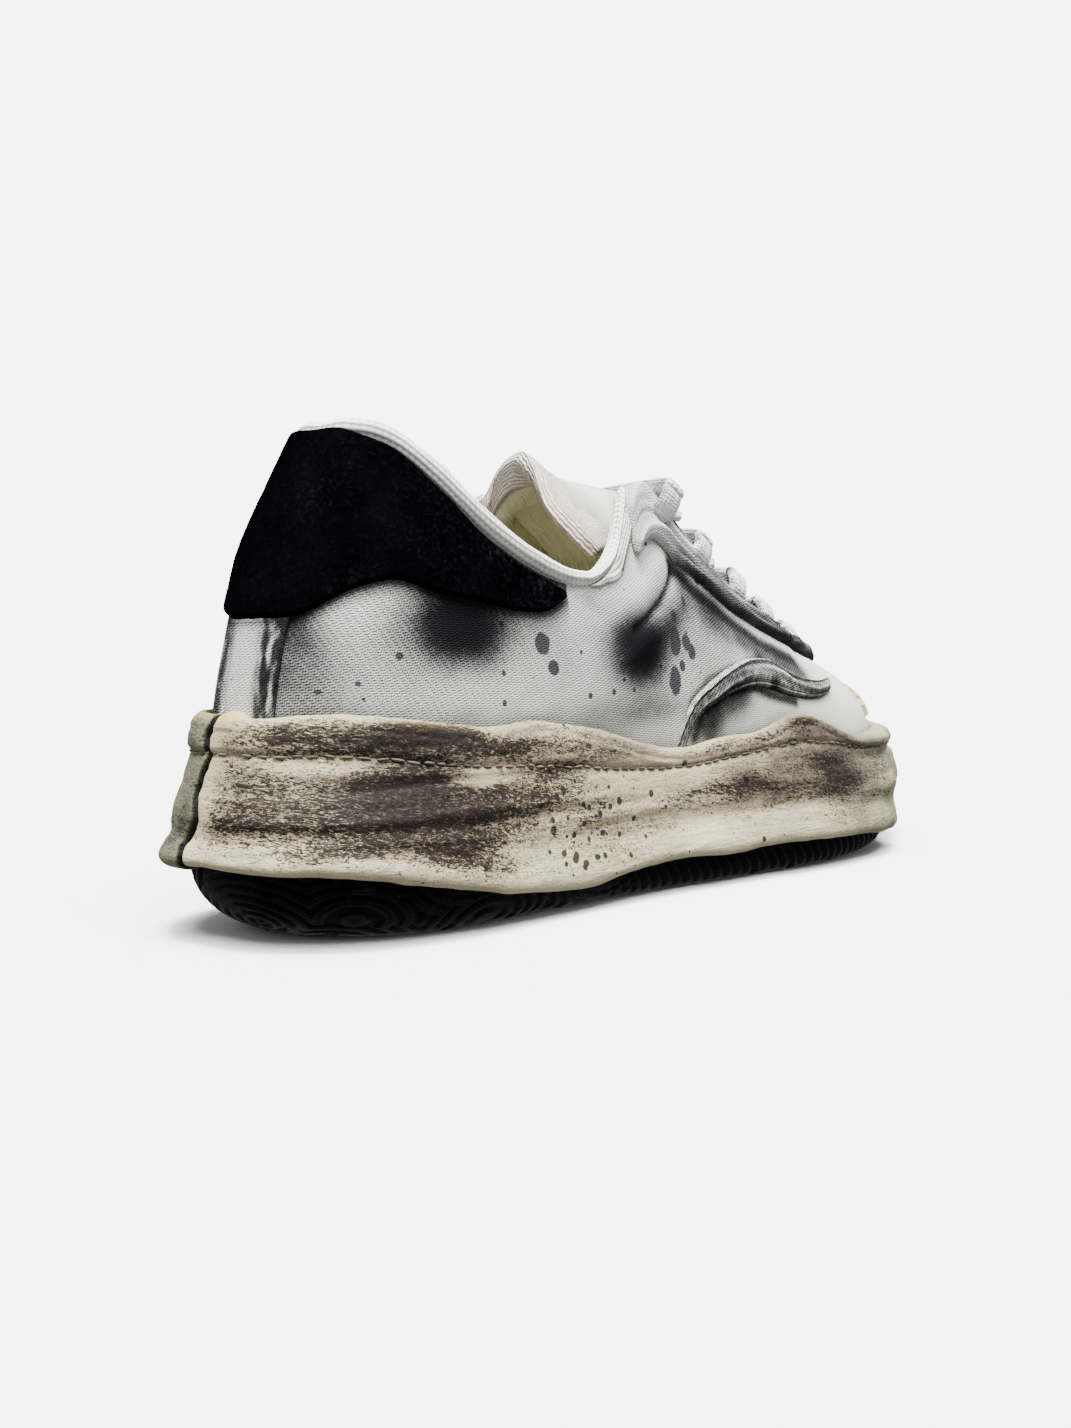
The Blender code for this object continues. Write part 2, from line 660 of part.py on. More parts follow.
# ---------------------------------------------------------------- tongue and laces
def throat_section(station):
    """Outer line of the tongue across the throat at a station, outer side first."""
    under = -(WALL + TONGUE_LIFT)
    line = [skin(station, share_below_edge(station, below), under) for below in (15.0, 7.0, 0.5)]
    edge = on_rib(station, 1.0)
    middle = np.array([edge[0], 0.0, edge[2] + 0.8])
    return line + [middle] + [point * MIRROR for point in line[::-1]]


def free_section(outer, crown, inner):
    """Outer line of the tongue's free end: an arch over the instep."""
    line = []
    for share in (-1.0, -0.82, -0.55, 0.0, 0.55, 0.82, 1.0):
        side = np.array(outer if share < 0 else inner)
        bend = abs(share) ** TONGUE_ROUND
        reach = np.array([bend, abs(share), bend])
        line.append(np.array(crown) + (side - crown) * reach)
    return line


def cubic_line(points, fine):
    """A smooth line through points, read at finer steps."""
    points = np.array(points)
    knots = np.arange(len(points))
    return np.stack([smooth(knots, points[:, axis], fine) for axis in range(3)], -1)


def tongue(textile):
    """Arched pad under the laces, from the throat's end to its free top."""
    lines = [throat_section(station) for station in (9.6, 8.8, 8.0, 7.4, 6.8, 6.2, 5.7, 5.35)]
    lines += [free_section(row[0:3], row[3:6], row[6:9]) for row in TONGUE_FREE]
    fine = np.linspace(0, 6, 11)
    outer = np.array([cubic_line(line, fine) for line in lines])
    normal = np.cross(np.gradient(outer, axis=0), np.gradient(outer, axis=1))
    normal /= np.linalg.norm(normal, axis=-1, keepdims=True)
    normal *= np.sign(normal[:, 5:6, 2:3])
    inner = outer - normal * TONGUE_THICK
    sections = np.concatenate([outer, inner[:, ::-1]], axis=1)
    return bar_body("tongue", sections, textile)


def lace_strap(bm, start, start_way, end, end_way, wide_way):
    """A flat strap on a cubic arch from one throat edge to the other."""
    start, end = np.asarray(start), np.asarray(end)
    handle = 0.36 * np.linalg.norm(end - start)
    low, high = start + start_way * handle, end + end_way * handle
    sections = []
    for s in np.linspace(0, 1, 7):
        point = start * (1 - s) ** 3 + 3 * low * s * (1 - s) ** 2 + 3 * high * s**2 * (1 - s) + end * s**3
        slope = (low - start) * (1 - s) ** 2 + 2 * (high - low) * s * (1 - s) + (end - high) * s**2
        slope /= np.linalg.norm(slope)
        wide = wide_way - slope * (wide_way @ slope)
        wide /= np.linalg.norm(wide)
        up = np.cross(wide, slope)
        up *= np.sign(up[2])
        corners = ((-1, 0), (-0.8, 1), (0.8, 1), (1, 0), (0.8, -1), (-0.8, -1))
        sections.append(
            [point + wide * LACE_WIDE / 2 * a + up * LACE_THICK / 2 * b for a, b in corners]
        )
    sections = np.array(sections)
    verts = lay_grid(bm, np.concatenate([sections, sections[:, :1]], axis=1))
    bmesh.ops.remove_doubles(bm, verts=verts, dist=1e-6)
    bmesh.ops.holes_fill(bm, edges=bm.edges)


def lace_anchor(station):
    """A point over a lace hole, the way up the rib from there, and the way along the throat."""
    lift = GAP + FACING_THICK + LACE_LIFT + LACE_THICK / 2
    share = float(share_below_edge(station, HOLE_FROM_EDGE - 1.0))
    point = skin(station, share, lift)
    ahead = skin(station, share + 0.02, lift) - skin(station, share - 0.02, lift)
    ahead = ahead / np.linalg.norm(ahead) + 0.22 * outward_normal(station, share)
    along = on_rib(station + 0.1, 1.0) - on_rib(station - 0.1, 1.0)
    return point, ahead / np.linalg.norm(ahead), along / np.linalg.norm(along)


def laces(woven):
    """A straight bar at the toe end and a crossing between each two rows of holes."""
    start, way, along = lace_anchor(LACE_ROWS[-1])
    bm = bmesh.new()
    lace_strap(bm, start, way, start * MIRROR, way * MIRROR, np.array([along[0], 0, along[2]]))
    finish("lace_bar", bm, woven)
    for count, (higher, lower) in enumerate(zip(LACE_ROWS, LACE_ROWS[1:]), 1):
        start, way, along = lace_anchor(higher)
        end = skin(lower - LACE_DIVE, 1.0, 2.2) * MIRROR
        end[1] -= 4.6
        end_way = np.array([0.0, -1.0, 0.12])
        wide = np.array([along[0], 0, along[2]])
        first = bmesh.new()
        lace_strap(first, start, way, end, end_way, wide)
        body = finish(f"lace_crossing_{count}", first, woven)
        second = bmesh.new()
        lace_strap(second, start * MIRROR, way * MIRROR, end * MIRROR, end_way * MIRROR, wide)
        boolean(body, cutter(f"lace_crossing_{count}_other", second), "UNION")


def lace_holes(bodies):
    """Punches the rows of holes through a facing and the canvas under it."""
    bm = bmesh.new()
    for row in LACE_ROWS:
        for station in (row, 2 * TOE - row):
            share = float(share_below_edge(station, HOLE_FROM_EDGE))
            way = outward_normal(station, share)
            turn = np.array([0, 0, 1.0])
            side = np.cross(turn, way)
            side /= np.linalg.norm(side)
            over = np.cross(way, side)
            centre = on_rib(station, share)
            made = bmesh.ops.create_cone(
                bm, cap_ends=True, segments=6, radius1=HOLE_ROUND, radius2=HOLE_ROUND, depth=12
            )
            for vert in made["verts"]:
                x, y, z = vert.co
                vert.co = (centre + side * x + over * y + way * z) / 1000
    punch = cutter("lace_hole_punch", bm)
    for body in bodies:
        boolean(body, punch, "DIFFERENCE")


# ---------------------------------------------------------------- the shoe
def centre_over_origin(sole):
    """Moves every mesh together, until the middle of the sole's plan is over the origin."""
    corners = np.array([vert.co for vert in sole.data.vertices])
    middle = (corners.min(axis=0) + corners.max(axis=0)) / 2
    for each in bpy.data.objects:
        each.data.transform(Matrix.Translation((-middle[0], -middle[1], 0)))


def main():
    for existing in list(bpy.data.objects):
        bpy.data.objects.remove(existing)
    black_rubber = material("black rubber", (0.02, 0.02, 0.02), 0.6)
    cream_rubber = material("cream rubber", (0.62, 0.56, 0.43), 0.55)
    canvas = material("canvas", (0.82, 0.83, 0.82), 0.9)
    smudged = material("smudged canvas", (0.5, 0.52, 0.51), 0.9)
    suede = material("suede", (0.012, 0.012, 0.014), 0.95)
    knit = material("knit", (0.85, 0.85, 0.84), 0.95)
    lining = material("lining", (0.78, 0.75, 0.6), 0.9)
    woven = material("lace", (0.85, 0.85, 0.83), 0.9)
    outsole(black_rubber)
    cup = cup_sole(cream_rubber)
    insole(lining)
    shell = upper(canvas)
    heel_tab(suede)
    facings = [facing("facing_outer", smudged, False), facing("facing_inner", smudged, True)]
    lace_holes([shell, *facings])
    vamp_band("vamp_band_outer", smudged, False)
    vamp_band("vamp_band_inner", smudged, True)
    toe_cap(cream_rubber)
    collar_roll(knit)
    tongue(lining)
    laces(woven)
    centre_over_origin(cup)


main()
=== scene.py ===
# %% [markdown]
# # A worn low sneaker on a chunky cup sole
# Plain solids give the shoe's real sizes. This lesson builds what the eye sees on top of them:
# woven canvas, suede, knitted collar, flat laces and scuffed cream rubber.
# Every piece is laid on the same few curves, so that the pieces nest as a cobbler's would.

# %% Load the plain solids
import math

import bmesh
import bpy
import numpy as np
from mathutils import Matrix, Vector, noise


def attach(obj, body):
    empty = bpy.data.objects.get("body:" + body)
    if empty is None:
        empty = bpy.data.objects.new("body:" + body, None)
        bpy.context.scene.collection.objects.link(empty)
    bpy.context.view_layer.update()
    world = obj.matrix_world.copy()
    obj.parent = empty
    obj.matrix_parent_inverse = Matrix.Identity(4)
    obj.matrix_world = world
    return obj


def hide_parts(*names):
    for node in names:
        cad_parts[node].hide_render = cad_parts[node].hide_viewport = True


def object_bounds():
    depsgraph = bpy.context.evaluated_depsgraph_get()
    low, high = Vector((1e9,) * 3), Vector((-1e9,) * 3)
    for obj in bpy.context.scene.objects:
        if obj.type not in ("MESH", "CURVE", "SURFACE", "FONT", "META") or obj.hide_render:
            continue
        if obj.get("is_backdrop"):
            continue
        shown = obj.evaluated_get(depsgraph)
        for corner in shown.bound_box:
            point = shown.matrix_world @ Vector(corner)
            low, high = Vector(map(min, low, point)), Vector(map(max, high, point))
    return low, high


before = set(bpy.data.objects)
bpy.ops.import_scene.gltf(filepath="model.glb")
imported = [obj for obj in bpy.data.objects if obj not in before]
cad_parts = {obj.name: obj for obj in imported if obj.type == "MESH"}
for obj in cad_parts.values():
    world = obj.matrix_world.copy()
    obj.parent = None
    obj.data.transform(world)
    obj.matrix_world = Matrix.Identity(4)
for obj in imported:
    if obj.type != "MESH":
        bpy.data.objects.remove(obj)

cad_low, cad_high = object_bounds()
LENGTH = round((cad_high.x - cad_low.x) * 1000, 1)
print("sole length", LENGTH, "mm, nodes", len(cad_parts))

# %% [markdown]
# ## The shoe's measures
# A last maker describes a shoe by sections. A station is a place along one side: 0 at the middle
# of the heel, 12 at the tip of the toe. Round the whole shoe the stations run 0 to 12 along the
# outer side and 12 to 24 back along the inner side. The tables are in millimetres from the
# heel's tip, or in % of the length, of half the ball's breadth and of the collar's height.

# %% Driving sizes
BALL_HALF = 54.5
COLLAR_HEIGHT = 116.5
TOE = 12
WALL = 2.2
GAP = 0.35
TAB_THICK = 1.7
FACING_THICK = 2.0
CAP_THICK = 1.7
BAND_HALF = 5.5
BAND_HIGH = 3.2
TONGUE_THICK = 3.6
LACE_WIDE = 8.0
LACE_THICK = 3.0
HOLE_FROM_EDGE = 8.0
LACE_ROWS = (5.36, 5.86, 6.38, 6.92, 7.5, 8.15)
FINE_STEPS = 2401

# %% Tables of sections
LIP_PLAN = (      # station, outer x, outer y, inner x, inner y
    (0, 0.0, 0, 0.0, 0), (1, 1.3, 33, 1.3, 33), (2, 6.5, 61, 6.5, 60), (3, 15.7, 75, 15.7, 72),
    (4, 28.8, 77, 28.1, 68), (5, 41.8, 82, 41.2, 67), (6, 54.0, 93, 52.3, 76),
    (7, 66.3, 103, 64.7, 94), (8, 78.4, 98, 75.8, 99), (9, 87.0, 76, 85.6, 88),
    (10, 93.3, 55, 93.4, 66), (11, 98.2, 26, 98.2, 37), (12, 100.0, -6, 100.0, 6),
)
TOP_EDGE = (      # station, x, y, z of the canvas's top edge
    (0.0, 12.0, 0, 100.0), (1.0, 12.7, 17, 100.0), (2.0, 15.6, 33, 96.0), (2.5, 17.7, 43, 90.0),
    (3.0, 20.8, 52, 82.0), (3.5, 25.2, 59, 75.0), (4.0, 30.4, 63, 71.0), (4.4, 34.3, 62, 72.5),
    (4.7, 37.3, 59, 79.0), (4.9, 39.2, 55, 88.0), (5.05, 41.0, 51, 94.0), (5.2, 43.0, 48, 96.0),
    (5.5, 46.9, 45, 91.5), (6.0, 54.2, 40, 80.5), (6.5, 61.0, 37, 72.0), (7.0, 67.0, 33, 65.5),
    (7.5, 72.5, 29, 60.0), (8.0, 76.5, 25, 56.0), (9.0, 79.4, 17, 53.2), (10.0, 80.6, 10, 52.2),
    (11.0, 81.0, 5, 51.9), (12.0, 81.1, 0, 51.9),
)
RIBS = (          # station, foot's inset, rise and swell at the foot, drop and spread at the edge
    (0, 13.5, 34, 2.5, 26, 14.0), (1, 13.0, 34, 3.0, 26, 13.0), (2, 11.5, 32, 4.0, 25, 11.0),
    (3, 9.5, 26, 4.5, 22, 4.0), (4, 9.0, 20, 5.0, 17, 3.5), (5, 9.0, 26, 5.5, 34, 9.0),
    (6, 9.0, 26, 5.5, 16, 17.0), (7, 9.0, 24, 5.0, 10, 21.0), (8, 9.5, 22, 5.0, 6, 24.0),
    (9, 11.0, 20, 4.5, 3, 26.0), (10, 12.0, 18, 4.5, 2, 27.5), (11, 12.0, 17.5, 4.5, 1, 29.0),
    (12, 12.0, 17.5, 4.5, 1, 30.0),
)
CUP_WAVES = (     # station, top of the sidewall, stitched groove, underside of the lip
    (0.0, 51.5, 43.0, 17.6), (1.0, 51.8, 43.2, 17.1), (2.0, 52.4, 42.8, 16.1),
    (3.0, 49.3, 39.8, 10.6), (3.3, 48.3, 38.9, 8.6), (3.6, 49.8, 38.2, 7.5), (4.1, 47.8, 36.6, 6.1),
    (4.5, 44.0, 35.0, 8.0), (4.8, 41.0, 34.4, 9.0), (5.2, 39.4, 34.2, 9.4), (5.6, 41.4, 35.6, 8.6),
    (6.0, 42.3, 37.0, 9.3), (6.5, 47.0, 38.4, 9.4), (6.9, 43.5, 37.4, 8.8), (7.4, 38.8, 35.2, 8.2),
    (8.0, 39.4, 34.6, 7.0), (9.0, 41.0, 34.8, 6.8), (10.0, 43.0, 35.6, 10.0),
    (11.0, 44.2, 36.4, 12.8), (12.0, 44.6, 37.0, 13.4),
)
SIDEWALL = (      # span, then share down and depth in: at the heel, along the side, round the toe
    (0, 0.06, 8.4, 0.06, 5.6, 0.06, 11.0), (0, 0.35, 6.9, 0.35, 4.4, 0.35, 8.6),
    (0, 0.75, 6.7, 0.75, 4.4, 0.75, 6.0), (0, 1.00, 7.3, 1.00, 4.9, 1.00, 4.6),
    (1, 0.10, 6.8, 0.12, 3.8, 0.12, 1.6), (1, 0.32, 4.6, 0.34, 3.0, 0.34, 0.0),
    (1, 0.56, 2.9, 0.58, 3.0, 0.54, 0.6), (1, 0.74, 3.2, 0.76, 1.2, 0.72, 1.9),
    (1, 0.88, 0.0, 0.90, 0.0, 0.88, 3.8), (1, 0.97, 0.6, 0.98, 0.8, 0.97, 5.4),
)
RIM_CROWN = (10.2, 7.0, 12.6)
LIP_UNDER = (0.6, 0.8, 5.6)
PROFILE_MIX = (   # station, share of the heel's profile, share of the toe's
    (0, 1.0, 0.0), (1, 1.0, 0.0), (2, 0.9, 0.0), (3, 0.4, 0.0), (4, 0.0, 0.0), (6, 0.0, 0.0),
    (7.5, 0.0, 0.0), (8.5, 0.0, 0.25), (9.3, 0.0, 0.8), (10, 0.0, 1.0), (12, 0.0, 1.0),
)
OUTSOLE_EDGE = (  # station, side's depth in from the lip, edge's reach inwards, edge's height
    (0, 7.0, 23.0, 18.0), (1, 7.0, 22.5, 17.5), (2, 6.5, 18.5, 15.5), (3, 5.0, 11.5, 11.0),
    (4, 5.0, 9.0, 8.0), (8, 5.0, 9.0, 8.0), (10, 6.5, 11.0, 9.0), (12, 7.0, 12.0, 10.0),
)
LEVELS = (        # x %, outsole's bottom, outsole's top, cup's floor
    (0, 0.0, 21.0, 31.0), (15, 0.0, 20.0, 31.0), (30, 0.0, 15.5, 28.5), (45, 0.0, 13.0, 24.0),
    (60, 0.0, 12.0, 19.5), (73, 0.0, 11.8, 18.0), (82, 1.2, 12.4, 18.6), (91, 4.8, 16.0, 21.5),
    (100, 9.0, 20.0, 26.5),
)
OUTSOLE_BOTTOM, OUTSOLE_TOP, CUP_FLOOR = 1, 2, 3
TAB_LOW = ((0, 73.5), (1, 75.0), (1.6, 80.5), (2, 82.3), (2.5, 79.5), (3, 77.8), (3.4, 75.6),
           (3.65, 75.8), (3.84, 78.0))
TAB_FRONT = 3.84
ROLL_SIZE = (     # station, half breadth, half height
    (0, 3.6, 2.6), (2, 3.6, 2.6), (3, 3.3, 2.4), (3.8, 2.9, 1.7), (4.3, 2.5, 1.6), (5.0, 2.2, 1.7),
)
ROLL_END = 5.02
FACING_BREADTH = ((5.0, 15.0), (5.3, 17.0), (6.0, 18.0), (7.0, 15.5), (8.0, 11.0), (9.0, 8.5),
                  (9.4, 6.5), (9.7, 5.0))
FACING_FROM, FACING_TO = 4.93, 9.7
BAND_PATH = (     # station, height of the middle line, share of the full breadth
    (5.16, 38.0, 0.34), (5.27, 44.5, 0.38), (5.38, 49.4, 0.44), (5.58, 53.8, 0.52),
    (5.80, 57.0, 0.62), (6.08, 59.0, 0.76), (6.34, 58.2, 0.84), (6.66, 54.8, 0.66),
    (7.0, 53.2, 0.55), (7.3, 53.9, 0.42), (7.6, 56.0, 0.22),
)
CAP_EDGE = ((9, 46.0), (9.5, 49.0), (10, 51.2), (11, 53.6), (12, 54.4))
TONGUE_FREE = ((123.0, -26.5, 94.0), (129.0, 2.0, 114.8), (128.0, 26.5, 94.0))
TONGUE_EDGE = (   # free edge of the tongue, outer side to inner
    (112.0, -27.5, 92.0), (107.5, -24.5, 97.0), (105.0, -18.0, 105.0), (114.0, -5.5, 116.5),
    (122.0, 6.0, 121.3), (124.0, 18.0, 116.0), (121.0, 27.5, 98.0),
)
print("tables:", len(LIP_PLAN), "plan rows,", len(TOP_EDGE), "edge rows")

# %% [markdown]
# ## Curves through the tables
# Each column of a table is read with a smooth cubic, so a handful of rows gives a fair curve.
# A rib is one upright curve of the upper at a station. `skin` gives any point on the upper's
# outside, lifted off it by a distance: a patch lies on it by asking for a small lift.

# %% Shares, humps and distances walked
def unit(value):
    """A share, kept between none and all."""
    return np.clip(value, 0, 1)


def hump(away, width, power=2):
    """A soft bump: 1 in its middle, almost nothing at twice its width."""
    return np.exp(-((away / width) ** power))


def side_of(station):
    """The station counted from the heel on its own side of the shoe, 0 to 12."""
    return np.minimum(np.mod(station, 2 * TOE), 2 * TOE - np.mod(station, 2 * TOE))


def way_along(line):
    return np.concatenate([[0], np.cumsum(np.linalg.norm(np.diff(line, axis=0), axis=1))])


def way_across(points):
    """Distance walked from the first column of a net, in each of its rows."""
    steps = np.linalg.norm(np.diff(points, axis=1), axis=2)
    return np.concatenate([0 * steps[:, :1], np.cumsum(steps, axis=1)], axis=1)


def way_down(points):
    """Mean distance walked from the first row of a net."""
    steps = np.linalg.norm(np.diff(points, axis=0), axis=2).mean(axis=1)
    return np.concatenate([[0], np.cumsum(steps)])


# %% Reading the tables
def smooth(knots, values, at):
    knots, values, at = np.asarray(knots, float), np.asarray(values, float), np.asarray(at, float)
    slopes = np.gradient(values, knots, axis=0)
    index = np.clip(np.searchsorted(knots, at, side="right") - 1, 0, len(knots) - 2)
    step = knots[index + 1] - knots[index]
    s = (at - knots[index]) / step
    return ((1 + 2 * s) * (1 - s) ** 2 * values[index] + s * (1 - s) ** 2 * slopes[index] * step
            + s**2 * (3 - 2 * s) * values[index + 1] - s**2 * (1 - s) * slopes[index + 1] * step)


def round_the_shoe(outer, inner, at):
    loop = list(outer) + [(2 * TOE - row[0], row[1]) for row in reversed(inner)][1:-1]
    before = [(row[0] - 2 * TOE, row[1]) for row in loop[-3:]]
    after = [(row[0] + 2 * TOE, row[1]) for row in loop[:3]]
    knots, values = zip(*(before + loop + after))
    return smooth(knots, values, np.mod(at, 2 * TOE))


def both_sides(table, column, at, mirrored=False):
    rows = [(row[0], row[column]) for row in table]
    return round_the_shoe([(s, -v if mirrored else v) for s, v in rows], rows, at)


def read(table, column, at):
    return smooth([row[0] for row in table], [row[column] for row in table], at)


# %% Plan, levels and ribs
def lip(at):
    x = round_the_shoe([(r[0], r[1]) for r in LIP_PLAN], [(r[0], r[3]) for r in LIP_PLAN], at)
    y = round_the_shoe([(r[0], -r[2]) for r in LIP_PLAN], [(r[0], r[4]) for r in LIP_PLAN], at)
    return np.stack([x * LENGTH / 100, y * BALL_HALF / 100], -1)


def lip_outward(at):
    along = lip(np.asarray(at) + 0.02) - lip(np.asarray(at) - 0.02)
    along /= np.linalg.norm(along, axis=-1, keepdims=True)
    return np.stack([along[..., 1], -along[..., 0]], -1)


def lip_inset(at, depth):
    depth = np.broadcast_to(np.asarray(depth, float), np.shape(at))
    return lip(at) - lip_outward(at) * depth[..., None]


def rim_height(at):
    """Height of the sidewall's top edge."""
    return both_sides(CUP_WAVES, 1, at)


def level(x, column):
    return np.maximum(read(LEVELS, column, np.clip(np.asarray(x) / LENGTH * 100, 0, 100)), 0.0)


def on_rib(at, share):
    at = np.asarray(at, float)
    outward = lip_outward(at)
    plan = lip_inset(at, both_sides(RIBS, 1, at))
    foot = np.concatenate([plan, (level(plan[..., 0], CUP_FLOOR) + GAP)[..., None]], -1)
    rise, swell, drop, spread = (both_sides(RIBS, column, at)[..., None] for column in (2, 3, 4, 5))
    edge = np.stack([both_sides(TOP_EDGE, 1, at) * LENGTH / 100,
                     both_sides(TOP_EDGE, 2, at, mirrored=True) * BALL_HALF / 100,
                     both_sides(TOP_EDGE, 3, at) * COLLAR_HEIGHT / 100], -1)
    low = foot + np.concatenate([outward * swell, rise], -1)
    high = edge + np.concatenate([outward * spread, -drop], -1)
    s = np.asarray(share, float)[..., None]
    return (foot * (1 - s) ** 3 + 3 * low * s * (1 - s) ** 2 + 3 * high * s**2 * (1 - s)
            + edge * s**3)


def outward_normal(at, share):
    along = on_rib(at + 0.03, share) - on_rib(at - 0.03, share)
    up = on_rib(at, share + 0.01) - on_rib(at, share - 0.01)
    normal = np.cross(along, up)
    return normal / np.linalg.norm(normal, axis=-1, keepdims=True)


def skin(at, share, lift=0.0):
    at, share, lift = np.broadcast_arrays(np.asarray(at, float), np.asarray(share, float), lift)
    return on_rib(at, share) + outward_normal(at, share) * lift[..., None]


# %% Finding a height or a distance on a rib
def whole_ribs(at):
    """81 even shares, and the points that they give on the ribs at some stations."""
    shares = np.linspace(0, 1, 81)
    return shares, on_rib(at.ravel()[:, None] + 0 * shares, np.broadcast_to(shares, (at.size, 81)))


def share_at_height(at, height):
    at, height = np.broadcast_arrays(np.asarray(at, float), np.asarray(height, float))
    shares, points = whole_ribs(at)
    heights = points[..., 2]
    rising = np.maximum.accumulate(heights, axis=1) + shares * 1e-6
    found = [np.interp(wanted, row, shares) for wanted, row in zip(height.ravel(), rising)]
    return np.array(found).reshape(at.shape)


def share_below_edge(at, distance):
    at, distance = np.broadcast_arrays(np.asarray(at, float), np.asarray(distance, float))
    shares, points = whole_ribs(at)
    steps = np.linalg.norm(np.diff(points, axis=1), axis=2)
    left = steps.sum(1, keepdims=True) - np.concatenate([0 * steps[:, :1], np.cumsum(steps, 1)], 1)
    found = [np.interp(-wanted, -row, shares) for wanted, row in zip(distance.ravel(), left)]
    return np.array(found).reshape(at.shape)


def even_stations(count, start=0.0, end=2.0 * TOE):
    """Stations that are the same distance apart along the sole."""
    fine = np.linspace(start, end, FINE_STEPS)
    walked = way_along(lip(fine))
    return np.interp(np.linspace(0, walked[-1], count), walked, fine)


plan = lip(np.linspace(0, 2 * TOE, FINE_STEPS))
MIDDLE = np.array([LENGTH / 2, (plan[:, 1].min() + plan[:, 1].max()) / 2, 0.0])
print("middle of the plan, mm from the heel:", MIDDLE.round(2))

# %% [markdown]
# ## Laying sheets
# Blender's grid operator makes a flat net of quads. Moving each of its crossings onto a curved
# surface gives a clean sheet whose UV map can be measured in millimetres of cloth, so a weave
# follows the cloth. Where the net's ends meet, the doubles are merged and the body is closed.

# %% From shoe millimetres to an object
MERGE = 2e-6          # points nearer than this, in metres, become one
SHARP_TURN = 60       # an edge that turns more than this, in degrees, is shaded sharp


def place(points):
    return (np.asarray(points, float) - MIDDLE) / 1000


def link_object(name, data):
    made = bpy.data.objects.new(name, data)
    bpy.context.scene.collection.objects.link(made)
    return made


def link_mesh(name, bm, smooth_faces=True):
    """Turns a finished bmesh into an object of the scene."""
    mesh = bpy.data.meshes.new(name)
    bm.to_mesh(mesh)
    bm.free()
    if smooth_faces:
        mesh.shade_smooth()
    return link_object(name, mesh)


def net_place(vert, rows, columns):
    """Row and column of a crossing of Blender's fresh grid, which spans -1 to 1."""
    return round((vert.co.x + 1) / 2 * (rows - 1)), round((vert.co.y + 1) / 2 * (columns - 1))


# %% The sheet layer
def cloth_sizes(points):
    """UV in metres: the way along the rows and the way across the columns."""
    across = way_across(points)
    return np.stack([np.broadcast_to(way_down(points)[:, None], across.shape), across], -1) / 1000


def lay_sheet(name, points, cloth=None, marks=None, face_columns=None):
    """Lays a grid on points[row, column], in shoe millimetres, as one object.

    marks are values per point for the materials; face_columns gives each column its material.
    """
    rows, columns = points.shape[:2]
    places = place(points)
    bm = bmesh.new()
    uv = bm.loops.layers.uv.new("cloth")
    layers = {key: bm.verts.layers.float.new(key) for key in (marks or {})}
    bmesh.ops.create_grid(bm, x_segments=rows - 1, y_segments=columns - 1, size=1)
    where = {vert.index: net_place(vert, rows, columns) for vert in bm.verts}
    bm.verts.ensure_lookup_table()
    for vert in bm.verts:
        row, column = where[vert.index]
        vert.co = places[row, column]
        for key, layer in layers.items():
            vert[layer] = marks[key][row, column]
    if cloth is None:
        cloth = cloth_sizes(points)
    for face in bm.faces:
        for loop in face.loops:
            loop[uv].uv = cloth[where[loop.vert.index]]
        if face_columns is not None:
            first_column = min(where[loop.vert.index][1] for loop in face.loops)
            face.material_index = int(face_columns[first_column])
    bmesh.ops.remove_doubles(bm, verts=bm.verts, dist=MERGE)
    open_edges = [edge for edge in bm.edges if edge.is_boundary]
    if open_edges:
        bmesh.ops.holes_fill(bm, edges=open_edges)
    bmesh.ops.recalc_face_normals(bm, faces=bm.faces)
    made = link_mesh(name, bm)
    made.data.set_sharp_from_angle(angle=math.radians(SHARP_TURN))
    print(f"{name}: {len(made.data.vertices)} points, {len(made.data.polygons)} faces")
    return made


def ripple(points, size, seed, stretch=(1, 1, 1)):
    """Soft seeded noise over points: -1 to 1, with lumps of a size in millimetres.

    A share below 1 in stretch draws the lumps out along that axis.
    """
    flat = (points * np.array(stretch)).reshape(-1, 3) / size
    values = [noise.noise(Vector(p) + Vector((seed, 2 * seed, 3 * seed))) for p in flat]
    return np.array(values).reshape(np.shape(points)[:-1])


def fit_out(piece, slot, nodes, *materials):
    """Gives a finished piece its materials and its body, and hides the solids it stands for.
    The slot is not used.
    """
    for each in materials:
        piece.data.materials.append(each)
    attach(piece, "root")
    if nodes:
        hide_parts(*nodes)
    return piece


# %% [markdown]
# ## Relief, dirt and painted shade from lines and blobs
# A crease in cloth is a soft trough beside a soft ridge. Each is drawn as a line in the side
# view: millimetres forward from the heel and up from the floor. The distance to the line gives
# the height of the fold, and the same distances also say where dirt has gathered and where shade
# is painted.

# %% Distance to a drawn line
def distance_to_line(points, line):
    flat = np.asarray(points)[..., [0, 2]]
    nearest = np.full(flat.shape[:-1], 1e9)
    for start, end in zip(np.array(line, float)[:-1], np.array(line, float)[1:]):
        way = end - start
        s = unit(((flat - start) @ way) / (way @ way))
        nearest = np.minimum(nearest, np.linalg.norm(flat - start - s[..., None] * way, axis=-1))
    return nearest


def on_side(points, side):
    """1 on one side of the shoe, fading to 0 across its middle; side is -1, 1, or 0 for both."""
    return np.ones(points.shape[:-1]) if side == 0 else unit(points[..., 1] * side / 4)


def drawn(points, strokes):
    """Sum of strokes: side, height or strength, half width, line."""
    total = np.zeros(points.shape[:-1])
    for side, strength, width, line in strokes:
        away = distance_to_line(points, line)
        total += strength * hump(away, width) * on_side(points, side)
    return total


def blobs(points, spots):
    """Sum of soft ovals: side, strength, x, z, radius along, radius up."""
    total = np.zeros(points.shape[:-1])
    for side, strength, x, z, wide, tall in spots:
        away = ((points[..., 0] - x) / wide) ** 2 + ((points[..., 2] - z) / tall) ** 2
        total += strength * np.exp(-away) * on_side(points, side)
    return total


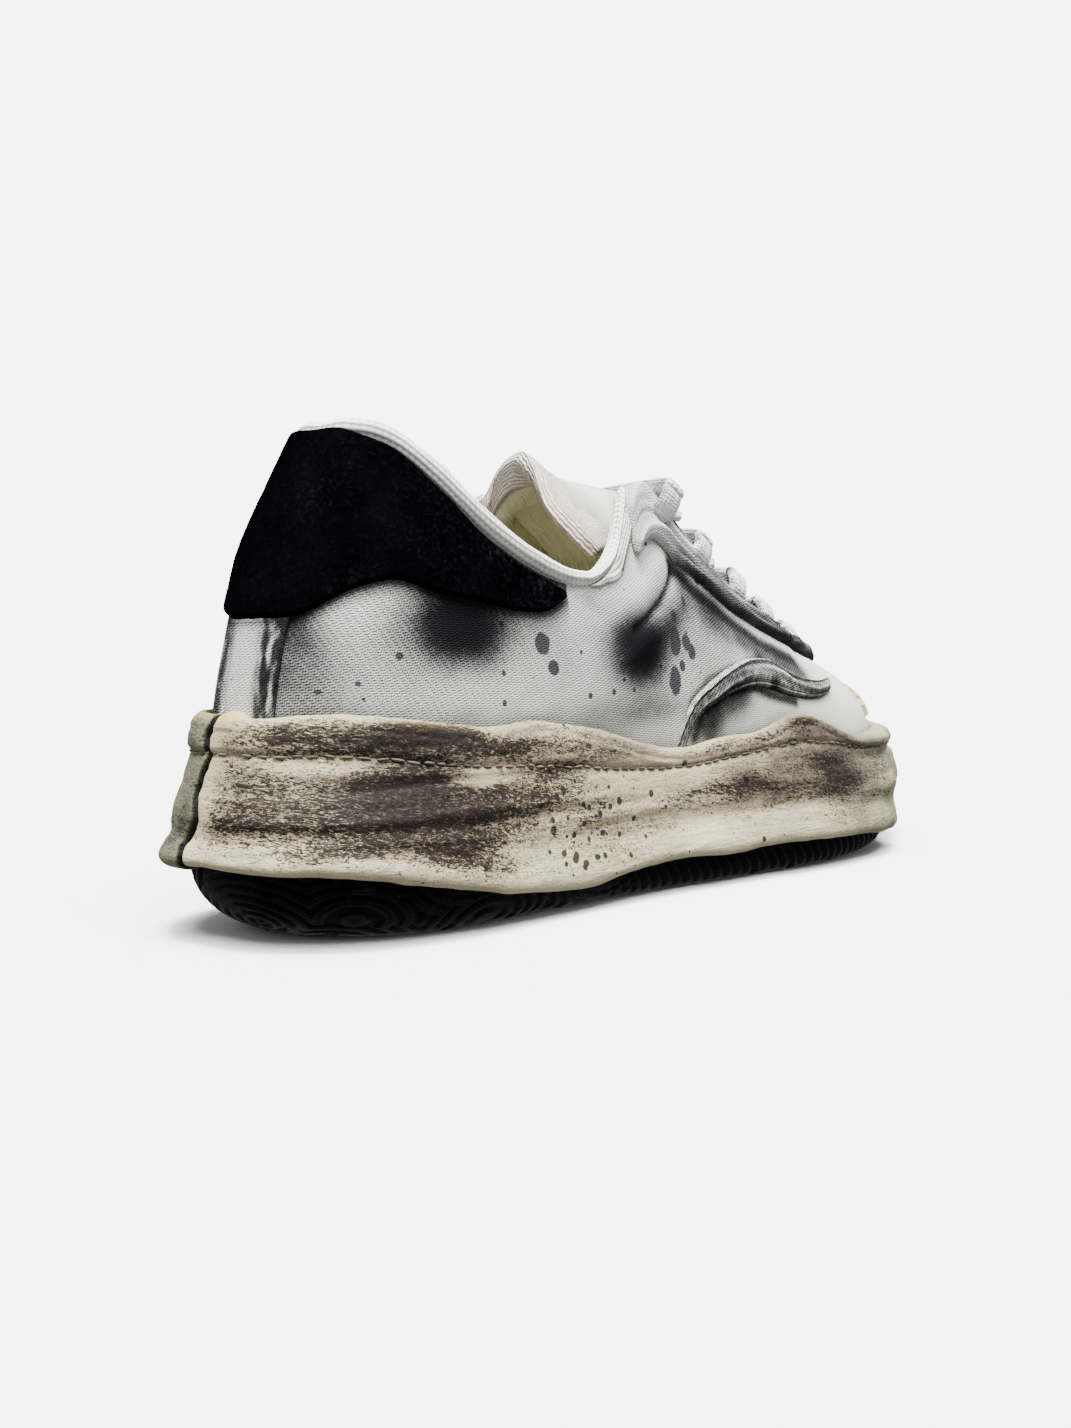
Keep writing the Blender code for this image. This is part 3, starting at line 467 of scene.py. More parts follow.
def rounded(distance, radius):
    """Share of full thickness at a distance in from an edge: a quarter round."""
    inside = unit(distance / radius)
    return np.sqrt(unit(1 - (1 - inside) ** 2))

# %% [markdown]
# ## Camera, floor and light
# The shoe is seen from behind and from its outer side, close to the floor, so the sole hides the
# ground line. A pale floor runs into an equally pale surround, as in a shop's white cove, and the
# light is a wide soft sheet above with a weaker one behind the camera.

# %% Camera
LOOK_TURN = math.radians(51.36)
LOOK_DOWN = math.radians(2.92)
EYE = (-210.4, -264.1, 69.3)
camera_data = bpy.data.cameras.new("camera")
camera_data.sensor_width = 36.0
camera_data.lens = 37.82
camera_data.clip_start = 0.02
camera = link_object("camera", camera_data)
camera.location = place(EYE)
ahead = Vector((math.sin(LOOK_TURN) * math.cos(LOOK_DOWN),
                math.cos(LOOK_TURN) * math.cos(LOOK_DOWN), -math.sin(LOOK_DOWN)))
camera.rotation_euler = ahead.to_track_quat("-Z", "Y").to_euler()
bpy.context.scene.camera = camera
print("camera", [round(v, 4) for v in camera.location])

# %% Floor and backdrop
# The floor and the backdrop are seen but light nothing, as if black flags kept their light off
# the shoe: a white shoe on a white ground needs that for its hollows to stay dark.
PAPER = 6.6
ROOM = 0.55
STAGE_HALF = 30
BACKDROP_AWAY = 18
world = bpy.data.worlds.new("room")
world.use_nodes = True
surround = world.node_tree.nodes["Background"]
surround.inputs["Color"].default_value = (1, 1, 1, 1)
surround.inputs["Strength"].default_value = ROOM
bpy.context.scene.world = world


def gloss(shader, roughness, specular):
    shader.inputs["Roughness"].default_value = roughness
    shader.inputs["Specular IOR Level"].default_value = specular


def stage_sheet(name, colour, glow=0.0):
    bm = bmesh.new()
    bmesh.ops.create_grid(bm, x_segments=1, y_segments=1, size=STAGE_HALF)
    made = link_mesh(name, bm, smooth_faces=False)
    paint = bpy.data.materials.new(name + "_paint")
    paint.use_nodes = True
    shader = paint.node_tree.nodes["Principled BSDF"]
    shader.inputs["Base Color"].default_value = (colour, colour, colour, 1)
    gloss(shader, 1.0, 0.0)
    shader.inputs["Emission Color"].default_value = (1, 1, 1, 1)
    shader.inputs["Emission Strength"].default_value = glow
    made.data.materials.append(paint)
    made.visible_diffuse = False
    made.visible_glossy = False
    made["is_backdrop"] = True
    return made


stage_sheet("floor", 0.96)
backdrop = stage_sheet("backdrop", 0.0, PAPER)
forward = Vector((math.sin(LOOK_TURN), math.cos(LOOK_TURN), 0))
backdrop.location = forward * BACKDROP_AWAY
backdrop.rotation_euler = (-forward).to_track_quat("Z", "Y").to_euler()

# %% Lamps
LAMPS = (         # name, direction it comes from, strength, spread in degrees
    ("top_sheet", (-0.22, -0.25, 1.0), 13.5, 50),
    ("bare_lamp", (-0.16, -0.12, 1.0), 6.5, 14),
)
for name, direction, strength, spread in LAMPS:
    light = bpy.data.lights.new(name, "SUN")
    light.energy = strength
    light.angle = math.radians(spread)
    lamp = link_object(name, light)
    lamp.rotation_euler = Vector(direction).to_track_quat("Z", "Y").to_euler()
print("lamps:", [row[0] for row in LAMPS], "surround", ROOM, "backdrop's glow", PAPER)

# %% [markdown]
# ## Shader blocks
# Small groups are shared by the materials. Each gives only a mask or a height, which feeds the
# colour, roughness or bump of an ordinary shader: a spot of ink, a weave, dimples, a brushed
# scuff, and fine specks of dirt.

# %% Writing node trees
class Tree:
    """Short calls for adding nodes: a value is a number, a tuple or another node's output."""

    def __init__(self, tree):
        self.tree = tree

    def node(self, kind, settings=None, output=0, **inputs):
        made = self.tree.nodes.new("ShaderNode" + kind)
        for key, value in (settings or {}).items():
            setattr(made, key, value)
        for key, value in inputs.items():
            numbered = key[0] == "i" and key[1:].isdigit()
            self.set(made.inputs[int(key[1:]) if numbered else key.replace("_", " ")], value)
        return made.outputs[output]

    def set(self, slot_in, value):
        if isinstance(value, bpy.types.NodeSocket):
            self.tree.links.new(value, slot_in)
        else:
            slot_in.default_value = value

    def math(self, operation, a, b=0.0, c=0.0, clamp=False):
        return self.node("Math", {"operation": operation, "use_clamp": clamp}, i0=a, i1=b, i2=c)

    def times(self, a, b, clamp=False):
        return self.math("MULTIPLY", a, b, clamp=clamp)

    def plus(self, a, b):
        return self.math("ADD", a, b)

    def minus(self, a, b, clamp=False):
        return self.math("SUBTRACT", a, b, clamp=clamp)

    def times_plus(self, a, gain, base):
        return self.math("MULTIPLY_ADD", a, gain, base)

    def vector(self, operation, a, b=(0, 0, 0), output=0):
        return self.node("VectorMath", {"operation": operation}, output, i0=a, i1=b)

    def mix(self, share, a, b):
        made = self.tree.nodes.new("ShaderNodeMix")
        made.data_type = "RGBA"
        self.set(made.inputs[0], share)
        self.set(made.inputs[6], a)
        self.set(made.inputs[7], b)
        return made.outputs[2]

    def split(self, vector):
        """The x, y and z of a vector."""
        made = self.tree.nodes.new("ShaderNodeSeparateXYZ")
        self.set(made.inputs[0], vector)
        return made.outputs

    def ramp(self, value, low, high, **ends):
        """Rises smoothly from 0 to 1 as the value goes from low to high."""
        return self.node("MapRange", {"interpolation_type": "SMOOTHSTEP"}, Value=value,
                         From_Min=low, From_Max=high, **ends)

    def noise(self, where, scale, detail=2.0, roughness=0.5):
        return self.node("TexNoise", Vector=where, Scale=scale, Detail=detail, Roughness=roughness)


def block(name, inputs, outputs):
    """A new node group: returns the tree writer, its input outlets and its output node."""
    group = bpy.data.node_groups.new(name, "ShaderNodeTree")
    for key, kind, value in inputs:
        socket = group.interface.new_socket(key, in_out="INPUT", socket_type="NodeSocket" + kind)
        if value is not None:
            socket.default_value = value
    for key in outputs:
        group.interface.new_socket(key, in_out="OUTPUT", socket_type="NodeSocketFloat")
    tree = Tree(group)
    entry = group.nodes.new("NodeGroupInput").outputs
    leave = group.nodes.new("NodeGroupOutput").inputs
    return tree, entry, leave


def use_block(tree, name, output=0, **inputs):
    made = tree.tree.nodes.new("ShaderNodeGroup")
    made.node_tree = bpy.data.node_groups[name]
    for key, value in inputs.items():
        tree.set(made.inputs[key.replace("_", " ")], value)
    return made.outputs[output]


# %% Block: a soft spot
tree, entry, leave = block(
    "soft_spot", [("Position", "Vector", None), ("Centre", "Vector", None), ("Edge", "Float", 0.3),
                  ("Squeeze", "Vector", (1, 1, 1)), ("Radius", "Float", 0.01)], ["Mask"])
away = tree.vector("SUBTRACT", entry["Position"], entry["Centre"])
away = tree.vector("MULTIPLY", away, entry["Squeeze"])
far = tree.math("DIVIDE", tree.vector("LENGTH", away, output=1), entry["Radius"])
wobble = tree.noise(entry["Position"], 420.0, 2.0)
far = tree.plus(far, tree.times(tree.minus(wobble, 0.5), 0.5))
inner = tree.minus(1.0, entry["Edge"])
outer = tree.plus(1.0, entry["Edge"])
tree.set(leave["Mask"], tree.ramp(far, inner, outer, To_Min=1.0, To_Max=0.0))

# %% Block: woven cloth
# Warp and weft threads pass over and under each other: a product of two waves, with a slanting
# wave added for a twill's diagonal.
tree, entry, leave = block(
    "cloth_weave", [("Cloth", "Vector", None), ("Pitch", "Float", 0.0006), ("Twill", "Float", 0.5)],
    ["Height", "Gaps"])
scaled = tree.vector("SCALE", entry["Cloth"])
tree.set(scaled.node.inputs["Scale"], tree.math("DIVIDE", math.pi, entry["Pitch"]))
bend = tree.noise(entry["Cloth"], 60.0, 1.0)
way = tree.split(scaled)
across = tree.plus(way[0], tree.times(bend, 5.0))
upwards = tree.plus(way[1], tree.times(bend, 3.0))
over = tree.times(tree.math("SINE", across), tree.math("SINE", upwards))
dots = tree.times(over, over)
slant = tree.math("SINE", tree.minus(tree.times(upwards, 1.4),
                                    tree.times(across, 0.7)))
slant = tree.times_plus(slant, 0.5, 0.5)
height = tree.plus(tree.times(slant, entry["Twill"]),
                   tree.times(dots, tree.minus(1.0, entry["Twill"])))
tree.set(leave["Height"], height)
tree.set(leave["Gaps"], tree.node("MapRange", Value=height, From_Min=0.35, From_Max=0.05))

# %% Block: knitted dimples
tree, entry, leave = block(
    "knit_dimples", [("Cloth", "Vector", None), ("Pitch", "Float", 0.0009)], ["Height"])
scaled = tree.vector("SCALE", entry["Cloth"])
tree.set(scaled.node.inputs["Scale"], tree.math("DIVIDE", math.pi, entry["Pitch"]))
way = tree.split(scaled)
first = tree.math("SINE", tree.plus(way[0], way[1]))
second = tree.math("SINE", tree.minus(way[0], way[1]))
dimples = tree.times(first, second)
tree.set(leave["Height"], tree.times_plus(dimples, 0.5, 0.5))

# %% Block: brushed scuff
# Rubber scraped along the ground takes long streaks. The noise is stretched along the shoe and
# cut into hairs; a slower noise leaves whole patches clean. The turn is in radians.
STREAK_TURN = -0.16
HAIR_SCALE, BAND_SCALE, GRAIN_SCALE = (500.0, 500.0, 2000.0), (45.0, 45.0, 230.0), 2600.0
HAIR_SHARE, BAND_SHARE, GRAIN_SHARE = 1.7, 0.45, 0.3
SCUFF_START, SCUFF_MOST, SCUFF_FADE = 1.66, 0.62, 0.24
tree, entry, leave = block(
    "brushed_scuff", [("Position", "Vector", None), ("Amount", "Float", 0.0)], ["Mask"])
turned = tree.node("VectorRotate", {"rotation_type": "Y_AXIS"}, Vector=entry["Position"],
                   Angle=STREAK_TURN)
hairs = tree.noise(tree.vector("MULTIPLY", turned, HAIR_SCALE), 1.0, 3.0, 0.62)
tree.set(hairs.node.inputs["Distortion"], 1.4)
bands = tree.noise(tree.vector("MULTIPLY", turned, BAND_SCALE), 1.0, 4.0, 0.7)
grain = tree.noise(entry["Position"], GRAIN_SCALE, 2.0, 0.7)
sum_up = tree.times(bands, BAND_SHARE)
sum_up = tree.plus(tree.times(hairs, HAIR_SHARE), sum_up)
sum_up = tree.plus(sum_up, tree.times(grain, GRAIN_SHARE))
amount = tree.math("MINIMUM", entry["Amount"], SCUFF_MOST)
over = tree.plus(tree.minus(sum_up, SCUFF_START), amount)
tree.set(leave["Mask"], tree.ramp(over, 0.0, SCUFF_FADE))

# %% Block: specks
tree, entry, leave = block(
    "specks", [("Position", "Vector", None), ("Scale", "Float", 300.0), ("Share", "Float", 0.2)],
    ["Mask"])
cells = tree.tree.nodes.new("ShaderNodeTexVoronoi")
cells.feature = "F1"
tree.set(cells.inputs["Vector"], entry["Position"])
tree.set(cells.inputs["Scale"], entry["Scale"])
pick = tree.tree.nodes.new("ShaderNodeSeparateColor")
tree.set(pick.inputs[0], cells.outputs["Color"])
chosen = tree.math("LESS_THAN", pick.outputs[0], entry["Share"])
size = tree.times_plus(pick.outputs[1], 0.22, 0.05)
near = tree.minus(size, cells.outputs["Distance"])
tree.set(leave["Mask"], tree.times(chosen, tree.ramp(near, 0.0, 0.05)))
print("blocks:", [group.name for group in bpy.data.node_groups])

# %% Materials: the common start
def paint(name):
    """A material with its tree writer, its shader, object position and the cloth's UV."""
    made = bpy.data.materials.new(name)
    made.use_nodes = True
    tree = Tree(made.node_tree)
    shader = made.node_tree.nodes["Principled BSDF"]
    position = tree.node("TexCoord", output="Object")
    cloth = tree.node("UVMap", {"uv_map": "cloth"})
    return made, tree, shader, position, cloth


def mark(tree, name):
    return tree.node("Attribute", {"attribute_name": name}, output="Fac")


def relief(tree, shader, height, distance, strength):
    bump = tree.node("Bump", Height=height, Strength=strength, Distance=distance)
    tree.set(shader.inputs["Normal"], bump)


DROP_EDGE = 0.12
OUTER_SIDE_ENDS = 0.004


def ink(tree, position, spots):
    """Drops of ink on the outer side: forward, up, radius along, radius up, all mm."""
    total = None
    for x, z, wide, tall in spots:
        drop = use_block(tree, "soft_spot", Position=position, Centre=tuple(place((x, -40.0, z))),
                         Squeeze=(tall / wide, 0.0, 1.0), Radius=tall / 1000, Edge=DROP_EDGE)
        total = drop if total is None else tree.math("MAXIMUM", total, drop)
    outer = tree.math("LESS_THAN", tree.split(position)[1], OUTER_SIDE_ENDS)
    return tree.times(total, outer)


def soiled(tree, cloud, gain, base):
    """The dirt and painted shade drawn on the mesh, made patchy by a cloud."""
    patchy = tree.times_plus(cloud, gain, base)
    return tree.times(mark(tree, "soil"), patchy, clamp=True)

# %% [markdown]
# ## Finishes
# Old canvas is never one white: it is greyer low down, brighter where it is rubbed, and graphite
# sits in the hollows of the weave, which are also painted darker as shade. The cloth's own bump
# and an attribute of dirt and painted shade drawn on the mesh are multiplied, so that smudges
# and shade break up over the threads.

# %% Dirt and painted shade that cover layer by layer
def covered(tree, grime_and_shade, left=0.006):
    """Share hidden by layered marks such as dirt and painted shade: each further layer hides
    the same share of what still shows.
    """
    return tree.minus(1.0, tree.math("POWER", left, grime_and_shade), clamp=True)


# %% Canvas
CANVAS_INK = (
    (78.6, 67.9, 2.3, 2.9), (81.9, 61.8, 1.9, 2.0), (134.7, 68.1, 2.4, 4.2),
    (139.4, 68.1, 1.7, 2.6), (141.4, 65.3, 1.6, 2.2), (133.5, 57.4, 2.6, 4.2),
    (137.0, 61.5, 1.2, 1.6), (26.5, 58.9, 0.6, 0.6), (19.8, 57.2, 0.6, 0.6), (64.8, 60.8, 0.7, 0.7),
    (64.4, 53.7, 0.8, 0.8), (95.0, 54.5, 0.8, 0.8), (105.4, 55.2, 0.8, 0.8),
    (134.1, 75.2, 1.5, 1.7), (140.2, 79.4, 1.2, 1.6), (127.9, 95.2, 1.0, 1.1),
    (92.2, 65.6, 0.6, 0.6), (114.2, 55.5, 0.7, 0.7),
)


INK = (0.030, 0.030, 0.034, 1)
GAP_SHADE_GREY = (0.10, 0.10, 0.095, 1)
LOW_YELLOW = (0.40, 0.39, 0.30, 1)
LOW_STARTS, LOW_FULL = 0.066, 0.042     # height in metres, where canvas begins to yellow


def canvas_paint(name, light, dark, inked):
    made, tree, shader, position, cloth = paint(name)
    weave = use_block(tree, "cloth_weave", Cloth=cloth, Pitch=0.0006, Twill=0.35)
    gaps = weave.node.outputs[1]
    soil = mark(tree, "soil")
    cloud = tree.noise(position, 55.0, 5.0, 0.6)
    grime_and_shade = tree.times(soil, tree.times_plus(cloud, 0.9, 0.55))
    grit = tree.noise(position, 800.0, 3.0, 0.7)
    grime_and_shade = tree.times(grime_and_shade, tree.times_plus(gaps, 0.4, 0.62))
    grime_and_shade = tree.times(grime_and_shade, tree.times_plus(grit, 1.1, 0.5))
    pale = tree.mix(tree.ramp(cloud, 0.3, 0.75), light, tuple(0.86 * v for v in light[:3]) + (1,))
    # Painted shade: the gaps of the weave are darkened on clean canvas too.
    pale = tree.mix(tree.times(gaps, 0.62), pale, GAP_SHADE_GREY)
    low = tree.ramp(tree.split(position)[2], LOW_STARTS, LOW_FULL)
    pale = tree.mix(tree.times(low, 0.45), pale, LOW_YELLOW)
    colour = tree.mix(covered(tree, grime_and_shade), pale, dark)
    speck = use_block(tree, "specks", Position=position, Scale=230.0, Share=0.09)
    colour = tree.mix(tree.times(speck, 0.85), colour, dark)
    if inked:
        drops = ink(tree, position, CANVAS_INK)
        colour = tree.mix(tree.times(drops, 0.95), colour, INK)
    tree.set(shader.inputs["Base Color"], colour)
    gloss(shader, 0.92, 0.05)
    fuzz = tree.noise(position, 1500.0, 2.0)
    relief(tree, shader, tree.plus(weave, tree.times(fuzz, 0.6)), 0.00028, 0.9)
    return made


canvas = canvas_paint("canvas", (0.74, 0.745, 0.72, 1), (0.0035, 0.0035, 0.0045, 1), True)
smudged_canvas = canvas_paint("smudged_canvas", (0.70, 0.71, 0.69, 1), (0.0035, 0.0038, 0.0045, 1),
                              False)
print("canvas drops", len(CANVAS_INK))

# %% Cream rubber
SOLE_INK = (
    (78.4, 22.0, 1.1, 1.3), (86.0, 15.0, 1.0, 1.1), (88.4, 12.0, 0.9, 0.9), (80.0, 30.0, 0.8, 0.9),
    (73.7, 28.4, 0.8, 0.8), (83.0, 31.5, 1.0, 1.1), (71.0, 31.0, 0.7, 0.7), (105.0, 27.0, 1.0, 1.1),
    (111.0, 22.0, 0.8, 0.8), (118.7, 28.0, 0.9, 1.0), (63.5, 27.0, 0.7, 0.7),
    (52.0, 16.0, 0.8, 0.8), (97.0, 14.0, 0.8, 0.8), (134.0, 35.0, 0.9, 0.9),
    (158.0, 29.0, 0.9, 1.0), (162.0, 12.0, 0.8, 0.8), (92.0, 18.5, 0.7, 0.7),
    (94.5, 24.0, 0.6, 0.6), (90.0, 27.5, 0.7, 0.7), (99.5, 19.0, 0.5, 0.5), (84.0, 24.5, 0.6, 0.6),
    (101.0, 31.0, 0.6, 0.6), (88.0, 33.5, 0.5, 0.5), (107.0, 13.0, 0.7, 0.8),
    (81.5, 13.5, 0.7, 0.7), (76.0, 17.0, 0.6, 0.6), (115.0, 17.0, 0.6, 0.6),
    (124.0, 24.0, 0.6, 0.6), (85.5, 14.2, 1.3, 1.0), (89.0, 12.8, 1.2, 0.9), (81.5, 16.0, 1.1, 0.9),
    (94.0, 13.8, 1.1, 0.8), (96.5, 24.5, 0.9, 0.9), (90.0, 22.5, 0.9, 0.8), (78.5, 24.5, 0.8, 0.8),
    (101.0, 26.0, 0.7, 0.9), (86.5, 20.0, 0.8, 0.8), (104.5, 18.5, 0.8, 0.8),
    (98.0, 19.5, 1.1, 0.8), (92.5, 26.5, 0.7, 0.8),
)
CREAM_PALE, CREAM_DULL = (0.58, 0.50, 0.33, 1), (0.40, 0.345, 0.225, 1)
PAINTED_SHADE_GREEN, STAIN_BROWN = (0.095, 0.102, 0.066, 1), (0.085, 0.068, 0.056, 1)
WASH_BROWN, DASH_BROWN = (0.028, 0.019, 0.014, 1), (0.024, 0.016, 0.012, 1)
SCUFF_BLACK, GRIT_BLACK = (0.011, 0.0075, 0.0058, 1), (0.02, 0.017, 0.015, 1)
DROP_BLACK, SPLIT_AND_GROOVE_SHADE_BLACK = (0.004, 0.004, 0.005, 1), (0.0015, 0.0013, 0.0012, 1)
GLUE_AMBER = (0.42, 0.34, 0.10, 1)

# %% Cream rubber: base, stains and washed-in dirt
cream_rubber, tree, shader, position, cloth = paint("cream_rubber")
scuff = use_block(tree, "brushed_scuff", Position=position, Amount=mark(tree, "scuff"))
cloud = tree.noise(position, 38.0, 5.0, 0.6)
cream = tree.mix(tree.ramp(cloud, 0.3, 0.7), CREAM_PALE, CREAM_DULL)
# Painted shade in a greenish grey, on the heel's far side and round the toe.
cream = tree.mix(mark(tree, "green"), cream, PAINTED_SHADE_GREEN)
patchy = tree.times_plus(cloud, 0.9, 0.5)
cream = tree.mix(tree.times(mark(tree, "stain"), patchy, clamp=True), cream, STAIN_BROWN)
patchy = tree.times_plus(cloud, 0.8, 0.35)
wash = tree.minus(mark(tree, "scuff"), 0.40, clamp=True)
wash = tree.times(tree.times(wash, 1.1, clamp=True), patchy, clamp=True)
cream = tree.mix(wash, cream, WASH_BROWN)

# %% Cream rubber: strokes, grit, drops and glue
dashes = tree.noise(tree.vector("MULTIPLY", position, (800.0, 800.0, 1700.0)), 1.0, 2.0, 0.6)
tree.set(dashes.node.inputs["Distortion"], 1.6)
dashes = tree.plus(dashes, tree.times_plus(mark(tree, "scuff"), 0.22, -0.09))
where_scuffed = tree.ramp(mark(tree, "scuff"), 0.04, 0.30)
dashes = tree.times(tree.ramp(dashes, 0.52, 0.62), where_scuffed)
cream = tree.mix(tree.times(dashes, 0.85), cream, DASH_BROWN)
colour = tree.mix(covered(tree, scuff, 0.03), cream, SCUFF_BLACK)
fine = use_block(tree, "specks", Position=position, Scale=620.0, Share=0.14)
colour = tree.mix(tree.times(fine, 0.8), colour, GRIT_BLACK)
coarse = use_block(tree, "specks", Position=position, Scale=400.0, Share=mark(tree, "spatter"))
drops = tree.math("MAXIMUM", coarse, ink(tree, position, SOLE_INK))
colour = tree.mix(tree.times(drops, 0.92), colour, DROP_BLACK)
colour = tree.mix(mark(tree, "glue"), colour, GLUE_AMBER)
# The split's dark line, and painted shade in the stitched groove.
colour = tree.mix(mark(tree, "dark"), colour, SPLIT_AND_GROOVE_SHADE_BLACK)
tree.set(shader.inputs["Base Color"], colour)
tree.set(shader.inputs["Roughness"], tree.times_plus(scuff, 0.25, 0.5))
shader.inputs["Specular IOR Level"].default_value = 0.14
pits = tree.noise(position, 900.0, 4.0, 0.7)
scratches = tree.noise(tree.vector("MULTIPLY", position, (90.0, 90.0, 900.0)), 1.0, 5.0, 0.7)
relief(tree, shader, tree.plus(pits, tree.times(scratches, 0.9)), 0.0006, 0.8)

# %% Suede
SUEDE_DEEP, SUEDE_SOFT = (0.0006, 0.0006, 0.0009, 1), (0.0016, 0.0016, 0.0022, 1)
SUEDE_RUBBED_AND_SHEEN = (0.012, 0.013, 0.017, 1)
suede, tree, shader, position, cloth = paint("suede")
nap = tree.noise(position, 900.0, 5.0, 0.75)
cloud = tree.noise(position, 70.0, 4.0, 0.6)
# The top edge is lighter: rubbed nap, and a painted sheen.
nap_rubbed_and_sheen = tree.times(mark(tree, "nap"), tree.ramp(nap, 0.5, 0.68))
shade = tree.mix(tree.ramp(cloud, 0.4, 0.75), SUEDE_DEEP, SUEDE_SOFT)
tree.set(shader.inputs["Base Color"], tree.mix(nap_rubbed_and_sheen, shade, SUEDE_RUBBED_AND_SHEEN))
gloss(shader, 1.0, 0.0)
relief(tree, shader, nap, 0.0006, 0.8)

# %% Black rubber
RUBBER_BLACK, RUBBER_DUSTY = (0.0003, 0.0003, 0.0003, 1), (0.0014, 0.0013, 0.0012, 1)
RUBBER_PAINTED_HIGHLIGHT = (0.014, 0.0135, 0.013, 1)
black_rubber, tree, shader, position, cloth = paint("black_rubber")
dust = tree.noise(position, 160.0, 5.0, 0.7)
rubber = tree.mix(tree.ramp(dust, 0.5, 0.9), RUBBER_BLACK, RUBBER_DUSTY)
# Painted highlights: lighter lines on the rib edges and on the ridges of the heel's maze.
painted_highlight_line = tree.times(mark(tree, "edge"), tree.ramp(dust, 0.3, 0.6))
tree.set(shader.inputs["Base Color"], tree.mix(painted_highlight_line, rubber, RUBBER_PAINTED_HIGHLIGHT))
tree.set(shader.inputs["Roughness"], tree.times_plus(dust, 0.3, 0.3))
shader.inputs["Specular IOR Level"].default_value = 0.035
relief(tree, shader, tree.noise(position, 1400.0, 3.0), 0.0003, 0.4)

# %% Lace cloth
lace_cloth, tree, shader, position, cloth = paint("lace_cloth")
weave = use_block(tree, "cloth_weave", Cloth=cloth, Pitch=0.0011, Twill=0.2)
grime_and_shade = soiled(tree, tree.noise(position, 320.0, 4.0, 0.65), 1.3, 0.2)
colour = tree.mix(covered(tree, grime_and_shade), (0.90, 0.90, 0.88, 1), DROP_BLACK)
tree.set(shader.inputs["Base Color"], colour)
gloss(shader, 0.9, 0.25)
relief(tree, shader, weave, 0.0005, 0.9)

# %% Knit
knit, tree, shader, position, cloth = paint("knit")
dimples = use_block(tree, "knit_dimples", Cloth=cloth, Pitch=0.0017)
cloud = tree.noise(position, 120.0, 4.0)
pale = tree.mix(tree.ramp(cloud, 0.35, 0.75), (0.86, 0.855, 0.83, 1), (0.76, 0.755, 0.73, 1))
# Painted shade in the hollows of the dimples.
shaded_hollow = tree.times(tree.ramp(dimples, 0.45, 0.05), 0.45)
pale = tree.mix(shaded_hollow, pale, (0.30, 0.30, 0.29, 1))
grime_and_shade = soiled(tree, cloud, 1.0, 0.4)
colour = tree.mix(covered(tree, grime_and_shade, 0.03), pale, (0.01, 0.01, 0.01, 1))
tree.set(shader.inputs["Base Color"], colour)
gloss(shader, 0.95, 0.2)
relief(tree, shader, dimples, 0.0006, 0.8)


# %% Lining, tongue cloth and thread
def lining_paint(name, light, shade, pitch):
    made, tree, shader, position, cloth = paint(name)
    weave = use_block(tree, "cloth_weave", Cloth=cloth, Pitch=pitch, Twill=0.7)
    cloud = tree.noise(position, 45.0, 4.0)
    colour = tree.mix(tree.ramp(cloud, 0.3, 0.75), light, shade)
    grime_and_shade = soiled(tree, cloud, 1.0, 0.4)
    colour = tree.mix(covered(tree, grime_and_shade, 0.05), colour, (0.03, 0.028, 0.02, 1))
    tree.set(shader.inputs["Base Color"], colour)
    gloss(shader, 0.95, 0.2)
    relief(tree, shader, weave, 0.0003, 0.7)
    return made


lining = lining_paint("lining", (0.70, 0.675, 0.48, 1), (0.58, 0.555, 0.38, 1), 0.0008)
tongue_cloth = lining_paint("tongue_cloth", (0.66, 0.65, 0.59, 1), (0.54, 0.53, 0.48, 1), 0.0007)
thread = lining_paint("thread", (0.24, 0.205, 0.15, 1), (0.11, 0.09, 0.07, 1), 0.0005)

# %% Ribbed binding tape
TAPE_PALE, TAPE_DULL = (0.70, 0.65, 0.58, 1), (0.50, 0.43, 0.36, 1)
TAPE_GROOVE_SHADE = (0.20, 0.155, 0.125, 1)
binding_cloth, tree, shader, position, cloth = paint("binding_cloth")
shiver = tree.times(tree.noise(position, 420.0, 3.0, 0.6), 9.0)
rib = tree.math("SINE", tree.plus(tree.times(tree.split(cloth)[1], 5200.0), shiver))
rib = tree.times_plus(rib, 0.5, 0.5)
tint = tree.mix(tree.ramp(tree.noise(position, 130.0, 3.0), 0.35, 0.7), TAPE_PALE, TAPE_DULL)
# Painted shade in the grooves between the ribs.
groove_shade_share = tree.times(tree.ramp(rib, 0.45, 0.0), 0.75)
tree.set(shader.inputs["Base Color"], tree.mix(groove_shade_share, tint, TAPE_GROOVE_SHADE))
gloss(shader, 0.95, 0.2)
relief(tree, shader, rib, 0.0005, 0.9)
print("materials:", len(bpy.data.materials))

# %% [markdown]
# ## The cream cup sole
# The cup is moulded in one piece, so one closed sheet makes it. At each station a profile runs up
# the inside wall, over the rim, down the wavy sidewall and under the lip. The control points of
# the profile are softened by cutting corners, as a mould maker rounds a section. Then come what
# wear and making leave: the stitched groove, a split at the back of the heel, dents and scuffs.

# %% Profiles
def in_height(plan, height):
    height = np.broadcast_to(np.asarray(height, float), plan.shape[:-1])
    return np.concatenate([plan, height[..., None]], -1)


def spine(at):
    """The middle line under the foot, where each profile ends."""
    side = side_of(at)
    return np.stack([LENGTH * (0.11 + 0.80 * side / TOE), 4.0 * side / TOE], -1)


def cut_corners(points, times):
    """Softens rows of control points: each pass replaces a corner by two points on its legs."""
    for _ in range(times):
        first, second = points[:, :-1], points[:, 1:]
        cut = np.stack([0.75 * first + 0.25 * second, 0.25 * first + 0.75 * second], 2)
        cut = cut.reshape(points.shape[0], -1, 3)
        points = np.concatenate([points[:, :1], cut, points[:, -1:]], axis=1)
    return points


